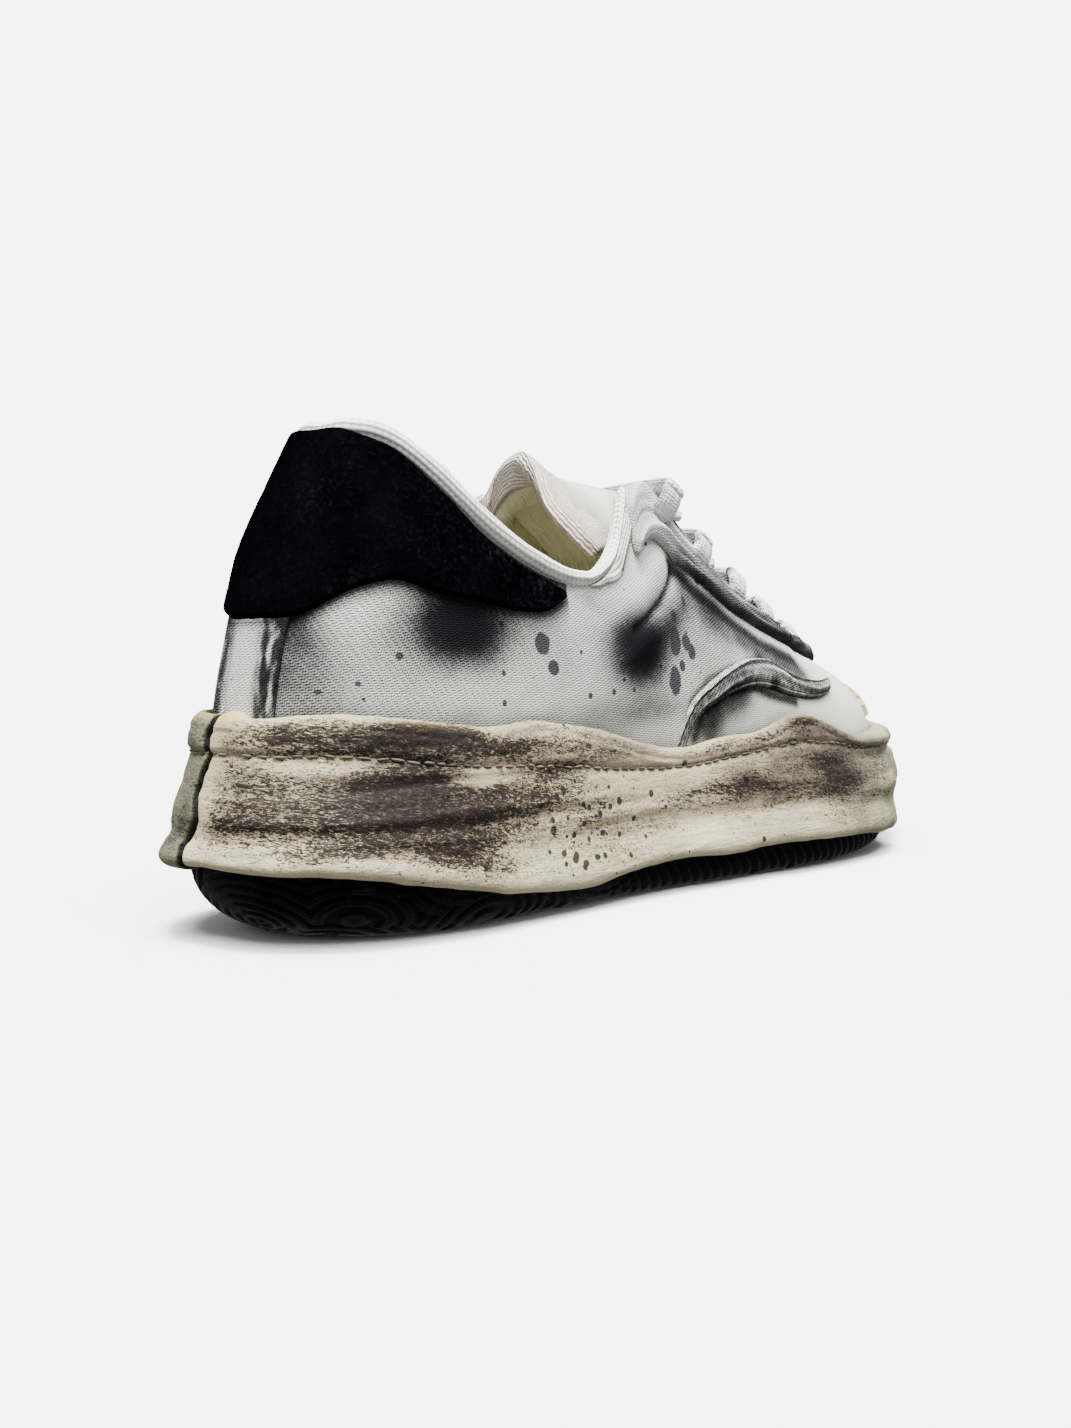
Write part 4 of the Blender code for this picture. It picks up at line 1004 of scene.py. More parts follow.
def even_rows(points, shares):
    """Reads each row again at a count of even spaces, or at the given shares of its length."""
    shares = np.linspace(0, 1, shares) if np.ndim(shares) == 0 else shares
    made = np.empty((len(points), len(shares), 3))
    for row, (line, way) in enumerate(zip(points, way_across(points))):
        wanted = shares * way[-1]
        made[row] = np.stack([np.interp(wanted, way, line[:, axis]) for axis in range(3)], -1)
    return made


def surface_normals(points, column):
    """Normals of a net, turned so that the ones in a column of its flank point outwards."""
    normal = np.cross(np.gradient(points, axis=0), np.gradient(points, axis=1))
    normal /= np.maximum(np.linalg.norm(normal, axis=-1, keepdims=True), 1e-9)
    away = points[:, column, :2] - np.array([LENGTH / 2, 0])
    return -normal if np.sum(normal[:, column, :2] * away) < 0 else normal


# %% Cup sole: stations, closer together beside the split
JOIN = -3.0           # station where the two ends of the net meet
CUP_CLEAR = 0.7       # room between the canvas and the cup's inside wall
WALL_ROWS = 108
CRACK_LINE = (    # height and place across of the split at the back of the heel
    (23.0, 6.8), (28.6, 3.6), (32.0, 4.9), (35.0, 5.4), (42.0, 3.7), (46.0, 4.4), (50.0, 3.4),
    (60.0, 3.4),
)
around = np.concatenate([even_stations(500) + JOIN, np.linspace(-0.62, 0.25, 64)]).round(4)
around = np.unique(around)
around = around[(around > JOIN) & (around < JOIN + 2 * TOE)]
around = np.concatenate([[JOIN], around, [JOIN + 2 * TOE]])
heel_share, toe_share = both_sides(PROFILE_MIX, 1, around), both_sides(PROFILE_MIX, 2, around)


def mixed(heel, side, toe):
    return side + heel_share * (heel - side) + toe_share * (toe - side)


# %% Cup sole: shape
rim_top, groove, under = (both_sides(CUP_WAVES, column, around) for column in (1, 2, 3))
foot = skin(around, np.zeros_like(around), CUP_CLEAR)
columns = []
for share in (0.55, 1.0):
    height = foot[:, 2] + share * (rim_top - 1.0 - foot[:, 2])
    columns.append(skin(around, share_at_height(around, height), CUP_CLEAR))
columns.append(in_height(lip_inset(around, mixed(*RIM_CROWN)), rim_top))
for span, *row in SIDEWALL:
    start, end = (rim_top, groove) if span == 0 else (groove, under)
    share, depth = mixed(*row[0::2]), mixed(*row[1::2])
    columns.append(in_height(lip_inset(around, depth), start + share * (end - start)))
skirt_depth = both_sides(OUTSOLE_EDGE, 1, around) - GAP
columns.append(in_height(lip_inset(around, (skirt_depth + mixed(*LIP_UNDER)) / 2), under))
skirt = lip_inset(around, skirt_depth)
ceiling = level(skirt[:, 0], OUTSOLE_TOP) + GAP
columns.append(in_height(skirt, np.minimum(under + 0.4, ceiling - 0.3)))
wall = even_rows(cut_corners(np.stack(columns, 1), 3), WALL_ROWS)
row_gap = way_along(wall[60])[-1] / (WALL_ROWS - 1)
print("sidewall net", wall.shape, "rows about", round(float(row_gap), 2), "mm apart")

# %% Cup sole: groove, rim and moulded waves
wall_out = surface_normals(wall, 40)
wall_x, wall_y, wall_z = np.moveaxis(wall, -1, 0)
outside = np.zeros(wall.shape[:2])
outside[:, 14:] = 1.0                      # from the rim outwards
outside[:, 10:14] = np.linspace(0, 1, 4)
below_groove = wall_z - groove[:, None]
relief_mm = -0.45 * hump(below_groove, 0.5) * outside
relief_mm += 0.15 * hump(below_groove - 1.9, 0.9) * outside
relief_mm -= 0.25 * hump(wall_z - (rim_top[:, None] - 3.4), 0.6) * outside
relief_mm += 0.55 * ripple(wall, 26.0, 1.0) * outside
relief_mm += 0.22 * ripple(wall, 7.0, 2.0) * outside
relief_mm += 0.16 * ripple(wall, 1.7, 3.0, (0.35, 0.35, 1.0)) * outside
near_heel = unit((120 - wall_x) / 50)
far_half = unit(1.2 - (wall_y + 12) / 8)
relief_mm += 0.3 * hump(wall_z - 22.5 - 1.2 * np.sin(wall_x / 16), 0.9) * near_heel * outside
for z, tall, high in ((38.8, 1.1, 0.45), (35.8, 1.2, -0.5), (29.0, 1.5, 0.55), (26.0, 1.3, -0.5)):
    level_off = wall_z - z - 0.9 * np.sin(wall_x / 15 + z)
    relief_mm += 0.65 * high * hump(level_off, tall) * near_heel * outside * far_half
front = unit((wall_x - 208) / 24) * outside
for z, tall, high in ((41.5, 1.4, -0.7), (36.8, 2.3, 1.3), (32.2, 1.3, -1.1), (22.5, 3.8, 1.3)):
    relief_mm += high * hump(wall_z - z, tall) * front
relief_mm += 0.6 * ripple(wall, 6.5, 13.0) * front
DENTS = (         # side, depth, x, z, radius along, radius up
    (0, -0.5, 22, 36, 26, 2.2), (0, 0.45, 60, 29, 30, 1.5), (0, 0.5, 112, 24, 34, 1.8),
    (0, -0.5, 172, 20, 22, 2.0), (0, -0.6, 206, 31, 16, 2.2), (0, 0.6, 232, 22, 14, 2.5),
)
relief_mm += blobs(wall, DENTS) * outside

# %% Cup sole: the split at the back of the heel
CRACK_NONE = 99.0     # stands for far away from the split
crack_y = np.interp(wall_z, *zip(*CRACK_LINE))
at_heel = (np.abs(around) < 1.0)[:, None] & (wall_x < 40)
beside = np.where(at_heel, wall_y - crack_y + 0.4 * ripple(wall, 2.2, 9.0), CRACK_NONE)
relief_mm -= 1.5 * hump(beside, 0.5) * outside
near_split = beside < 60
stand_out = unit(beside / 0.7) * near_split
relief_mm += 0.8 * stand_out * unit((26 - beside) / 24) * outside
smear = np.exp(-(((wall_x - 11.5) / 3.5) ** 2 + ((wall_y + 0.5) / 3.6) ** 2
                 + ((wall_z - 51.0) / 2.2) ** 2))
relief_mm += 1.9 * smear
wall = wall + wall_out * relief_mm[..., None]
wall_x, wall_y, wall_z = np.moveaxis(wall, -1, 0)
print("relief from", relief_mm.min().round(2), "to", relief_mm.max().round(2), "mm")

# %% Cup sole: where it is scuffed
SCUFFS = (        # side, strength, x, z, radius along, radius up
    (-1, 0.75, 38, 46.8, 15, 3.0), (-1, 0.35, 64, 43.0, 18, 3.0), (-1, 0.30, 14, 47.5, 10, 3.0),
    (-1, 0.80, 32, 33.5, 11, 5.0), (-1, 0.30, 56, 31.0, 16, 5.0), (-1, 0.32, 12, 30.0, 9, 4.0),
    (-1, 0.30, 13, 21.5, 10, 2.0), (-1, 0.30, 42, 21.0, 9, 2.0), (-1, -0.60, 55, 36.5, 4, 1.5),
    (-1, 0.22, 190, 44.0, 13, 3.5), (-1, 0.20, 203, 29.0, 10, 5.0), (-1, 0.16, 208, 25.0, 10, 5.0),
    (-1, 0.08, 176, 27.0, 20, 7.0), (-1, -0.35, 199, 38.0, 5, 1.5), (-1, -0.18, 120, 33.0, 26, 9.0),
    (-1, -0.25, 150, 14.0, 40, 5.0), (-1, -0.35, 228, 15.0, 10, 3.0),
    (-1, 0.25, 150, 27.0, 24, 3.5), (-1, 0.22, 110, 39.0, 20, 3.0), (-1, 0.25, 30, 27.0, 26, 4.0),
    (1, 0.60, 70, 40.0, 30, 6.0), (1, 0.60, 215, 36.0, 28, 8.0), (1, 0.40, 140, 26.0, 30, 5.0),
    (1, 0.35, 30, 26.0, 16, 5.0),
)
scuff = 0.37 + 0.05 * unit((95 - wall_x) / 35)
scuff += 0.26 * ripple(wall, 26.0, 5.0, (1, 1, 2.4))
scuff += 0.16 * ripple(wall, 9.0, 6.0, (0.5, 0.5, 3.0))
scuff += blobs(wall, SCUFFS)
lip_band = unit((wall_z - (under[:, None] + 1.0)) / 5)
scuff *= 0.38 + 0.62 * lip_band
rim_band = unit((rim_top[:, None] - wall_z) / 1.6)
scuff = np.clip(scuff * (0.4 + 0.6 * rim_band), 0, 1.1)
clean_side = hump(np.clip(-beside - 1.5, -9, 99), 2.5) * near_split
scuff = scuff * outside * (1 - 0.85 * clean_side)

# %% Cup sole: stains, painted greenish shade, spatter, glue, dark lines and painted groove shade
STAINS = (        # side, strength, x, z, radius along, radius up
    (-1, 0.95, 196, 33, 19, 9.0), (-1, 1.10, 191, 44.5, 15, 4.5), (-1, 0.55, 168, 27, 26, 8.0),
    (-1, 0.60, 207, 27, 10, 6.0), (-1, 0.50, 33, 34, 17, 6.0), (-1, 0.50, 38, 47, 20, 3.5),
    (-1, 0.34, 42, 29, 36, 13.0), (-1, 0.30, 100, 40, 36, 5.0), (-1, -0.60, 199, 38, 5, 1.8),
    (1, 0.50, 70, 38, 34, 7.0), (1, 0.60, 205, 34, 26, 8.0),
)
stain = blobs(wall, STAINS)
stain *= (0.9 + 0.6 * ripple(wall, 11.0, 51.0, (1, 1, 1.8))) * lip_band * outside
# Painted greenish shade past the split and round the toe, with faint random patches of it.
green = unit(beside / 0.5) * near_split
green = np.maximum(green, unit((wall_y - 6) / 4)) * unit((60 - wall_x) / 40) * 0.85
green += unit((wall_x - 194) / 20) * (0.55 + 0.35 * ripple(wall, 7.0, 14.0))
green += 0.25 * unit(ripple(wall, 22.0, 12.0))
spatter = 0.05 + blobs(wall, ((-1, 0.50, 90, 20, 20, 11), (-1, 0.12, 140, 25, 30, 10)))
glue = 1.2 * smear
glue += 0.35 * hump(wall_z - rim_top[:, None], 0.9) * unit(ripple(wall, 12.0, 21.0) + 0.5)
dark = 1.3 * hump(beside - 0.25, 0.5, 4) * outside
dark = dark + 0.55 * unit(ripple(wall, 7.0, 33.0) - 0.1) * stand_out * outside
# Painted shade in the stitched groove.
dark = dark + 0.4 * hump(below_groove, 0.5) * unit(0.35 + ripple(wall, 9.0, 31.0)) * outside
marks = {"scuff": scuff, "stain": np.clip(2.0 * stain, 0, 0.9), "green": unit(green) * outside,
         "spatter": spatter * outside, "glue": unit(glue), "dark": unit(dark)}
for key, value in marks.items():
    print(f"{key}: up to {value.max():.2f}")


# %% Cup sole: closing the body
def padded_marks(marks, before, after):
    """Gives the rows that close a body the marks of their neighbours."""
    room = ((0, 0), (before, after))
    return {key: np.pad(value, room, mode="edge") for key, value in marks.items()}


floor_edge = in_height(foot[:, :2], level(foot[:, 0], CUP_FLOOR))
floor_middle = spine(around)
closing = [in_height(floor_middle, level(floor_middle[:, 0], CUP_FLOOR)), floor_edge]
roof_middle = level(floor_middle[:, 0], OUTSOLE_TOP) + GAP
roof = [in_height(skirt, ceiling), in_height(floor_middle, roof_middle)]
body = np.concatenate([np.stack(closing, 1), wall, np.stack(roof, 1)], axis=1)
body = np.concatenate([body, body[:, :1]], axis=1)
cup = lay_sheet("cup_sole_worn", body, marks=padded_marks(marks, len(closing), len(roof) + 1))
fit_out(cup, "cream_rubber", ["cup_sole"], cream_rubber)

# %% [markdown]
# ## Stitches in the groove
# A cup sole is sewn to the upper through a groove, with thick waxed thread. Each stitch is a
# small round bar that dips at both ends. They are uneven and partly frayed, so each is moved
# and stretched a little by a seeded number.

# %% Sewing
rng = np.random.default_rng(7)


def on_line(line, walked, distance):
    return np.array([np.interp(distance, walked, line[:, axis]) for axis in range(3)])


def lay_stitches(name, pairs, thick, wobble, nodes, slot):
    """A row of small round bars, each between two points given in shoe millimetres."""
    bm = bmesh.new()
    layer = bm.verts.layers.float.new("soil")
    bm.loops.layers.uv.new("cloth")
    for start, end in pairs:
        way = Vector(end - start)
        turn = way.to_track_quat("Z", "Y").to_matrix()
        around_way = thick * (1 + rng.uniform(-0.12, 0.15))
        centre = (start + end) / 2 + rng.uniform(-1, 1, 3) * wobble
        made = bmesh.ops.create_uvsphere(bm, u_segments=8, v_segments=5, radius=1.0)
        for vert in made["verts"]:
            local = Vector((vert.co.x * around_way, vert.co.y * around_way,
                            vert.co.z * (way.length / 2 + 0.2)))
            vert.co = place(centre + np.array(turn @ local))
            vert[layer] = 0.3
    bmesh.ops.recalc_face_normals(bm, faces=bm.faces)
    made = fit_out(link_mesh(name, bm), slot, nodes, thread)
    print(name, len(pairs), "stitches,", len(made.data.polygons), "faces")


# %% Groove stitches
FLANK_FROM, FLANK_TO = 20, 95
STITCH_LONG, STITCH_GAP, STITCH_LOST = 2.7, 1.0, 0.08
flank_heights = wall[:, FLANK_FROM:FLANK_TO, 2]
rows_in_groove = FLANK_FROM + np.argmin(np.abs(flank_heights - groove[:, None]), axis=1)
every = np.arange(len(wall))
groove_line = wall[every, rows_in_groove] + wall_out[every, rows_in_groove] * 0.40
walked = way_along(groove_line)
pairs = []
distance = 2.0
while distance < walked[-1] - 4:
    length = STITCH_LONG + rng.uniform(-0.6, 0.6)
    if rng.random() > STITCH_LOST:
        pairs.append([on_line(groove_line, walked, end) for end in (distance, distance + length)])
    distance += length + STITCH_GAP + rng.uniform(-0.2, 0.5)
lay_stitches("groove_stitches", pairs, 0.36, 0.16, ["cup_sole"], "cream_rubber")

# %% [markdown]
# ## The black outsole
# The tread is a thin moulded slab that shows below the cup. Its flank carries slanted ribs from
# waist to toe and a winding maze at the heel; its bottom has wide wavy grooves. All of these are
# cut by moving the sheet in along its normal, where a wave of the distance says there is a groove.

# %% Outsole: the slab
HEEL_STEPS = 300      # the net is twice as close round the heel, for its maze
fine_out = even_stations(1400)
around_out = np.concatenate([fine_out[:HEEL_STEPS], fine_out[HEEL_STEPS:-HEEL_STEPS:2],
                             fine_out[-HEEL_STEPS:]])
middle = spine(around_out)
depth, reach, tall = (both_sides(OUTSOLE_EDGE, column, around_out) for column in (1, 2, 3))
side = lip_inset(around_out, depth)
top = level(side[:, 0], OUTSOLE_TOP)
columns = [in_height(middle, level(middle[:, 0], OUTSOLE_BOTTOM))]
for turn in np.linspace(0, 90, 13):
    inset = reach * (1 - math.sin(math.radians(turn)))
    raised = tall * (1 - math.cos(math.radians(turn)))
    plan = lip_inset(around_out, depth + inset)
    columns.append(in_height(plan, level(plan[:, 0], OUTSOLE_BOTTOM) + raised))
columns.append(in_height(side, np.maximum(top, columns[-1][:, 2] + 0.3)))
row_shares = np.concatenate([np.linspace(0, 0.62, 26), np.linspace(0.63, 1.0, 58)])
slab = even_rows(np.stack(columns, 1), row_shares)
slab_out = surface_normals(slab, 70)

# %% Outsole: ribs, maze and tread grooves
RIB_PITCH, RIB_DEEP, TREAD_DEEP = 4.2, 0.9, 2.4
walked_out = way_along(side)[:, None]
heel_part = unit((118 - slab[..., 0]) / 20)
slant = walked_out * np.where(around_out[:, None] < TOE, 1, -1) + slab[..., 2] * 0.9
ribs = 0.5 + 0.5 * np.cos(2 * math.pi * slant / RIB_PITCH)
flank = unit((slab[..., 2] - level(slab[..., 0], OUTSOLE_BOTTOM) - 0.9) / 1.0)
nests = np.zeros(slab.shape[:2])
for row, column in np.argwhere(heel_part * flank > 0):
    nests[row, column] = noise.voronoi(Vector(slab[row, column] * (0.036, 0.036, 0.055)))[0][0]
ridge = np.sin(nests * 50.0)
cut_in = (1 - heel_part) * unit(ribs * 2.2 - 1.0) + heel_part * unit(0.35 - 1.3 * ridge) * 0.7
rib_edge = hump(ribs - 0.42, 0.12) * (1 - heel_part) * flank
slab_relief = -RIB_DEEP * flank * cut_in
bottom = (1 - flank) * (np.arange(slab.shape[1]) > 1)
for (first, last, count), swing in zip(((24.0, 92.0, 4), (168.0, 280.0, 7)), (3.2, 1.6)):
    for x in np.linspace(first, last, count):
        wave = x + swing * np.sin((slab[..., 1] + x) / 13.0)
        slab_relief -= TREAD_DEEP * bottom * unit(1.6 - np.abs(slab[..., 0] - wave))
slab = slab + slab_out * slab_relief[..., None]
slab[..., 2] = np.maximum(slab[..., 2], 0.0)
roof = in_height(middle, level(middle[:, 0], OUTSOLE_TOP))[:, None]
body = np.concatenate([slab, roof, slab[:, :1]], axis=1)
# Painted highlights along the rib edges and the maze's ridges.
painted_highlight_edges = {"edge": rib_edge + heel_part * flank * hump(ridge - 0.45, 0.35)}
tread = lay_sheet("outsole_worn", body, marks=padded_marks(painted_highlight_edges, 0, 2))
fit_out(tread, "black_rubber", ["outsole"], black_rubber)

# %% [markdown]
# ## The canvas upper
# The upper is one wall of canvas outside and lining inside. Its folds are given one by one: a long
# crease runs back from the first lace hole, the cloth sinks under the facing and beside the vamp
# band, and broad soft waves cross the quarter. Dirt and painted shade are drawn in the same
# millimetres.

# %% Folds, dirt and painted shade of the cloth
FOLDS = (         # side, height in mm, half width, line of x and z
    (-1, -0.9, 1.5, ((142, 90), (136, 83.7), (131, 79.5), (122, 74), (117, 71.5))),
    (-1, 0.9, 3.2, ((139, 79), (131, 74), (122, 69), (112, 64))),
    (-1, 0.7, 3.5, ((134, 90), (126, 83), (116, 77), (106, 72))),
    (-1, -0.35, 3.0, ((141, 88), (150, 80), (164, 72.5), (184, 65), (204, 61))),
    (-1, -0.30, 2.2, ((138, 42.4), (141, 52), (149, 58.5), (162, 63))),
    (-1, -0.6, 4.0, ((64, 76), (70, 66), (74, 55))),
    (-1, 0.6, 6.0, ((84, 74), (90, 64), (96, 54))),
    (-1, -0.5, 3.5, ((34, 66), (37, 58), (38, 52))),
    (-1, 0.5, 5.0, ((46, 68), (50, 60), (52, 54))),
    (-1, -0.5, 2.2, ((98, 78), (104, 74), (108, 69))),
    (1, -0.9, 2.6, ((140, 90), (134, 83), (124, 76), (112, 70))),
    (1, 0.7, 4.0, ((137, 80), (126, 71), (112, 64))),
    (1, -0.8, 3.0, ((141, 88), (150, 80), (164, 72.5), (184, 65), (204, 61))),
    (1, -0.7, 2.6, ((137, 44), (141, 54), (150, 61), (162, 65.5))),
    (1, -0.5, 5.0, ((60, 74), (66, 64), (68, 54))),
    (0, -0.8, 2.2, ((214, 66), (221, 58), (224, 50))),
)
# Smudges of dirt, with a few spots of painted shade, such as at the vamp band's start.
DIRT_AND_SHADE = (          # side, strength, x, z, radius along, radius up
    (-1, 2.1, 53, 71.5, 10.5, 6.5), (-1, 0.34, 53, 72, 19, 10), (-1, 0.06, 30, 62, 18, 9),
    (-1, 2.0, 117.5, 66.0, 8.5, 6.5), (-1, 0.36, 118, 66, 17, 11), (-1, 0.22, 132, 76, 6, 6),
    (-1, 0.48, 15, 64, 7, 14), (-1, 0.08, 84, 66, 14, 9), (-1, 0.18, 150, 68, 20, 9),
    (-1, 0.30, 147, 47, 5, 7),
    (-1, 0.35, 156, 76, 9, 6), (-1, 0.25, 118, 50, 20, 4),
    (1, 0.65, 74, 70, 12, 7), (1, 0.5, 128, 66, 14, 9), (1, 0.2, 30, 62, 22, 12),
)
# Painted shade with some grime: in the crease, under the facing and the band, by the back strip.
GRIME_AND_SHADE_LINES = (   # side, strength, half width, line of x and z
    (-1, 0.95, 0.75, ((140, 88), (136, 83.7), (131, 79.5), (122, 74), (116, 71))),
    (-1, 0.34, 4.5, ((144, 86), (140, 79), (133, 73), (124, 68))),
    (-1, 0.85, 1.9, ((139, 90), (148, 83), (162.7, 75.5), (183, 67.5), (203, 62.5))),
    (-1, 0.34, 2.8, ((168, 69), (180, 64.5), (192, 61.2), (203, 59))),
    (-1, 0.32, 5.0, ((144, 83), (150, 79), (164, 71), (184, 63), (204, 59))),
    (-1, 0.50, 1.0, ((137.5, 42.4), (140.5, 52), (148, 57.6), (158.7, 60.6), (177, 63.6),
                     (184, 60))),
    (-1, 0.35, 2.2, ((19.5, 77), (19.0, 68))),
    (-1, 0.75, 1.4, ((141, 41.5), (144.5, 48.5), (155, 54), (168, 55), (178, 52.2), (190, 50))),
    (-1, 0.60, 4.4, ((147, 44.5), (152, 50), (162, 52.5))),
    (1, 0.8, 2.4, ((139, 90), (148, 83), (162.7, 75.5), (183, 67.5), (203, 62.5))),
    (1, 0.6, 1.8, ((137, 43), (141, 53), (149, 60), (160, 64.5), (176, 66))),
    (1, 0.6, 2.4, ((17.2, 76), (16.6, 62), (15.8, 50))),
    (1, 0.4, 1.6, ((136, 83.7), (122, 74), (110, 68))),
)


def cloth_relief(points):
    broad = 0.75 * ripple(points, 30.0, 40.0) + 0.28 * ripple(points, 11.0, 41.0)
    return broad + drawn(points, FOLDS)


def fold_height(base, share):
    """The cloth's folds, fading out at the foot and weaker at the top edge."""
    return cloth_relief(base) * unit((share - 0.15) / 0.15) * np.clip((1.04 - share) / 0.08, 0.3, 1)


def tab_low(at):
    return read(TAB_LOW, 1, np.minimum(side_of(at), TAB_FRONT))


def cloth_soil(at, points):
    soil = blobs(points, DIRT_AND_SHADE) + drawn(points, GRIME_AND_SHADE_LINES)
    # Painted shade under the heel tab's lower edge; the canvas is also darker above the rim and
    # heel.
    under_tab = np.clip(tab_low(at) - points[..., 2], 0, 60)
    soil += 0.55 * np.exp(-under_tab / 1.8) * (side_of(at) < TAB_FRONT + 0.05)
    rim = points[..., 2] - rim_height(at)
    soil += 0.16 * np.exp(-np.clip(rim, 0, 50) / 1.8)
    soil += 0.05 * unit((85 - points[..., 0]) / 60)
    return np.clip(soil, 0, 2.2)


# %% Upper
canvas_at = even_stations(760)
outer_share = np.concatenate([[0.0, 0.08, 0.15], np.linspace(0.2, 1.0, 74)])
inner_share = np.linspace(1.0, 0.0, 26)
shares = np.concatenate([outer_share, inner_share])
station_grid, share_grid = np.meshgrid(canvas_at, shares, indexing="ij")
base = on_rib(station_grid, share_grid)
lift = fold_height(base, share_grid)
inner_side = np.arange(len(shares)) >= len(outer_share)
lift[:, inner_side] -= WALL
points = base + outward_normal(station_grid, share_grid) * lift[..., None]
soil = cloth_soil(station_grid, base)
soil[:, inner_side] = 0.15
cloth = cloth_sizes(points)
points = np.concatenate([points, points[:, :1]], axis=1)
soil = np.concatenate([soil, soil[:, :1]], axis=1)
cloth = np.concatenate([cloth, cloth[:, -1:]], axis=1)
rows_slot = (np.arange(points.shape[1]) >= len(outer_share)).astype(int)
upper = lay_sheet("canvas_upper", points, cloth, {"soil": soil}, rows_slot)
fit_out(upper, "canvas", ["upper"], canvas, lining)

# %% [markdown]
# ## Patches that lie on the upper
# The suede tab, the canvas facings, the rubber toe piece and the narrow strip down the back are
# cut from sheet and lie on the canvas. A patch is a closed bar: an outer face with rounded
# edges and an inner face that follows the same folds as the canvas, a hair above it.

# %% Laying a patch
def edge_spacing(count):
    return (1 - np.cos(np.linspace(0, math.pi, count))) / 2


def lay_patch(name, at, low, high, thick, rows, radius, base_lift=GAP, extra=None, **drawn_marks):
    share = low[:, None] + (high - low)[:, None] * edge_spacing(rows)[None]
    station = np.broadcast_to(at[:, None], share.shape)
    base = on_rib(station, share)
    fold = fold_height(base, share)
    across = way_across(base)
    along = way_down(base)[:, None]
    inside = np.minimum(across, across[:, -1:] - across)
    inside = np.minimum(inside, np.minimum(along, along[-1] - along))
    height = thick * (0.12 + 0.88 * rounded(inside, radius))
    if extra is not None:
        height = height + extra(station, base, across, inside)
    normal = outward_normal(station, share)
    outer = base + normal * (fold + base_lift + height)[..., None]
    inner_rows = np.linspace(rows - 1, 0, 4).round().astype(int)
    inner = (base + normal * (fold + base_lift)[..., None])[:, inner_rows]
    points = np.concatenate([outer, inner, outer[:, :1]], axis=1)
    marks = {}
    for key, values in drawn_marks.items():
        found = values(station, base, across, inside)
        marks[key] = np.concatenate([found, found[:, inner_rows], found[:, :1]], axis=1)
    return lay_sheet(name, points, marks=marks)


# %% Heel tab
tab_at = np.linspace(-TAB_FRONT, TAB_FRONT, 300)
low = share_at_height(tab_at, tab_low(tab_at))
crown = np.interp(np.abs(tab_at), (0, 0.8, 1.6, 2.4, 3.4, 3.9), (-2.6, -2.2, 0.2, 2.2, 2.4, 1.6))
high = share_below_edge(tab_at, np.maximum(crown, 0.4))
high = high + np.clip(-crown, 0, 9) * 0.0085
closing = unit((np.abs(tab_at) - TAB_FRONT + 0.25) / 0.25) ** 2
middle_share = (low + high) / 2
low, high = (edge + closing * 0.45 * (middle_share - edge) for edge in (low, high))


def tab_nap(station, base, across, inside):
    # Lighter towards the top edge: rubbed nap, and a painted sheen.
    rubbed_and_sheen = np.exp(-((across[:, -1:] - across) / 7.0)) * np.clip((base[..., 0] - 40) / 30, 0.1, 1)
    return unit(0.95 * rubbed_and_sheen + 0.10 + 0.3 * unit(ripple(base, 14.0, 55.0)))


def tab_relief(station, base, across, inside):
    return 0.22 * ripple(base, 12.0, 57.0) + 0.10 * ripple(base, 3.0, 58.0)


tab = lay_patch("suede_heel_tab", tab_at, low, high, TAB_THICK, 90, 0.9, extra=tab_relief,
                nap=tab_nap)
fit_out(tab, "suede", ["heel_tab"], suede)

# %% Strip down the back
STRIP_THICK, STRIP_LIFT = 0.9, 0.15
stay_at = np.linspace(-0.75, 0.75, 90)
low = share_at_height(stay_at, rim_height(stay_at) - 2.0)
high = share_at_height(stay_at, tab_low(stay_at) - 0.3)


def stay_soil(station, base, across, inside):
    streaks = ripple(base, 1.3, 60.0, (1, 1, 0.16))
    streaks = streaks + 0.5 * ripple(base, 1.5, 62.0, (1, 1, 0.5))
    dark = hump(base[..., 1] + 9.6, 5.2, 4) * np.clip(0.85 + 1.3 * streaks, 0.08, 1.4)
    dark += hump(base[..., 1] - 10.0, 3.0) * np.clip(0.7 + 1.0 * streaks, 0, 1.1)
    # The last term is painted shade just under the heel tab.
    return np.clip(dark + 0.05 + 0.4 * np.exp(-(tab_low(station) - base[..., 2]) / 1.6), 0, 1.1)


def stay_relief(station, base, across, inside):
    return 0.5 * hump(inside, 1.0) + 0.25 * ripple(base, 3.0, 61.0, (1, 1, 0.3))


stay = lay_patch("back_strip", stay_at, low, high, STRIP_THICK, 60, 0.8, STRIP_LIFT,
                 extra=stay_relief, soil=stay_soil)
fit_out(stay, "smudged_canvas", ["upper"], smudged_canvas)

# %% Facings: folds, dirt and painted shade
def hole_distances(station, base):
    """Distance to the nearest lace hole, mm."""
    nearest = np.full(base.shape[:-1], 99.0)
    for row in LACE_ROWS:
        at = np.array(row if station.mean() < TOE else 2 * TOE - row)
        hole = on_rib(at, share_below_edge(at, HOLE_FROM_EDGE))
        away = np.linalg.norm((base - hole) * np.array([1, 1, 0.75]), axis=-1)
        nearest = np.minimum(nearest, away)
    return nearest


STATION_LONG = 26     # mm along the sole from one station to the next, about


def lengthwise(station, across, along_size, across_size, seed):
    """Noise drawn out along a strip: its lumps' size along and across it, in mm."""
    grid = [side_of(station) * STATION_LONG / along_size, across / across_size, 0 * across]
    grid = np.stack(grid, -1)
    return ripple(grid, 1.0, seed)


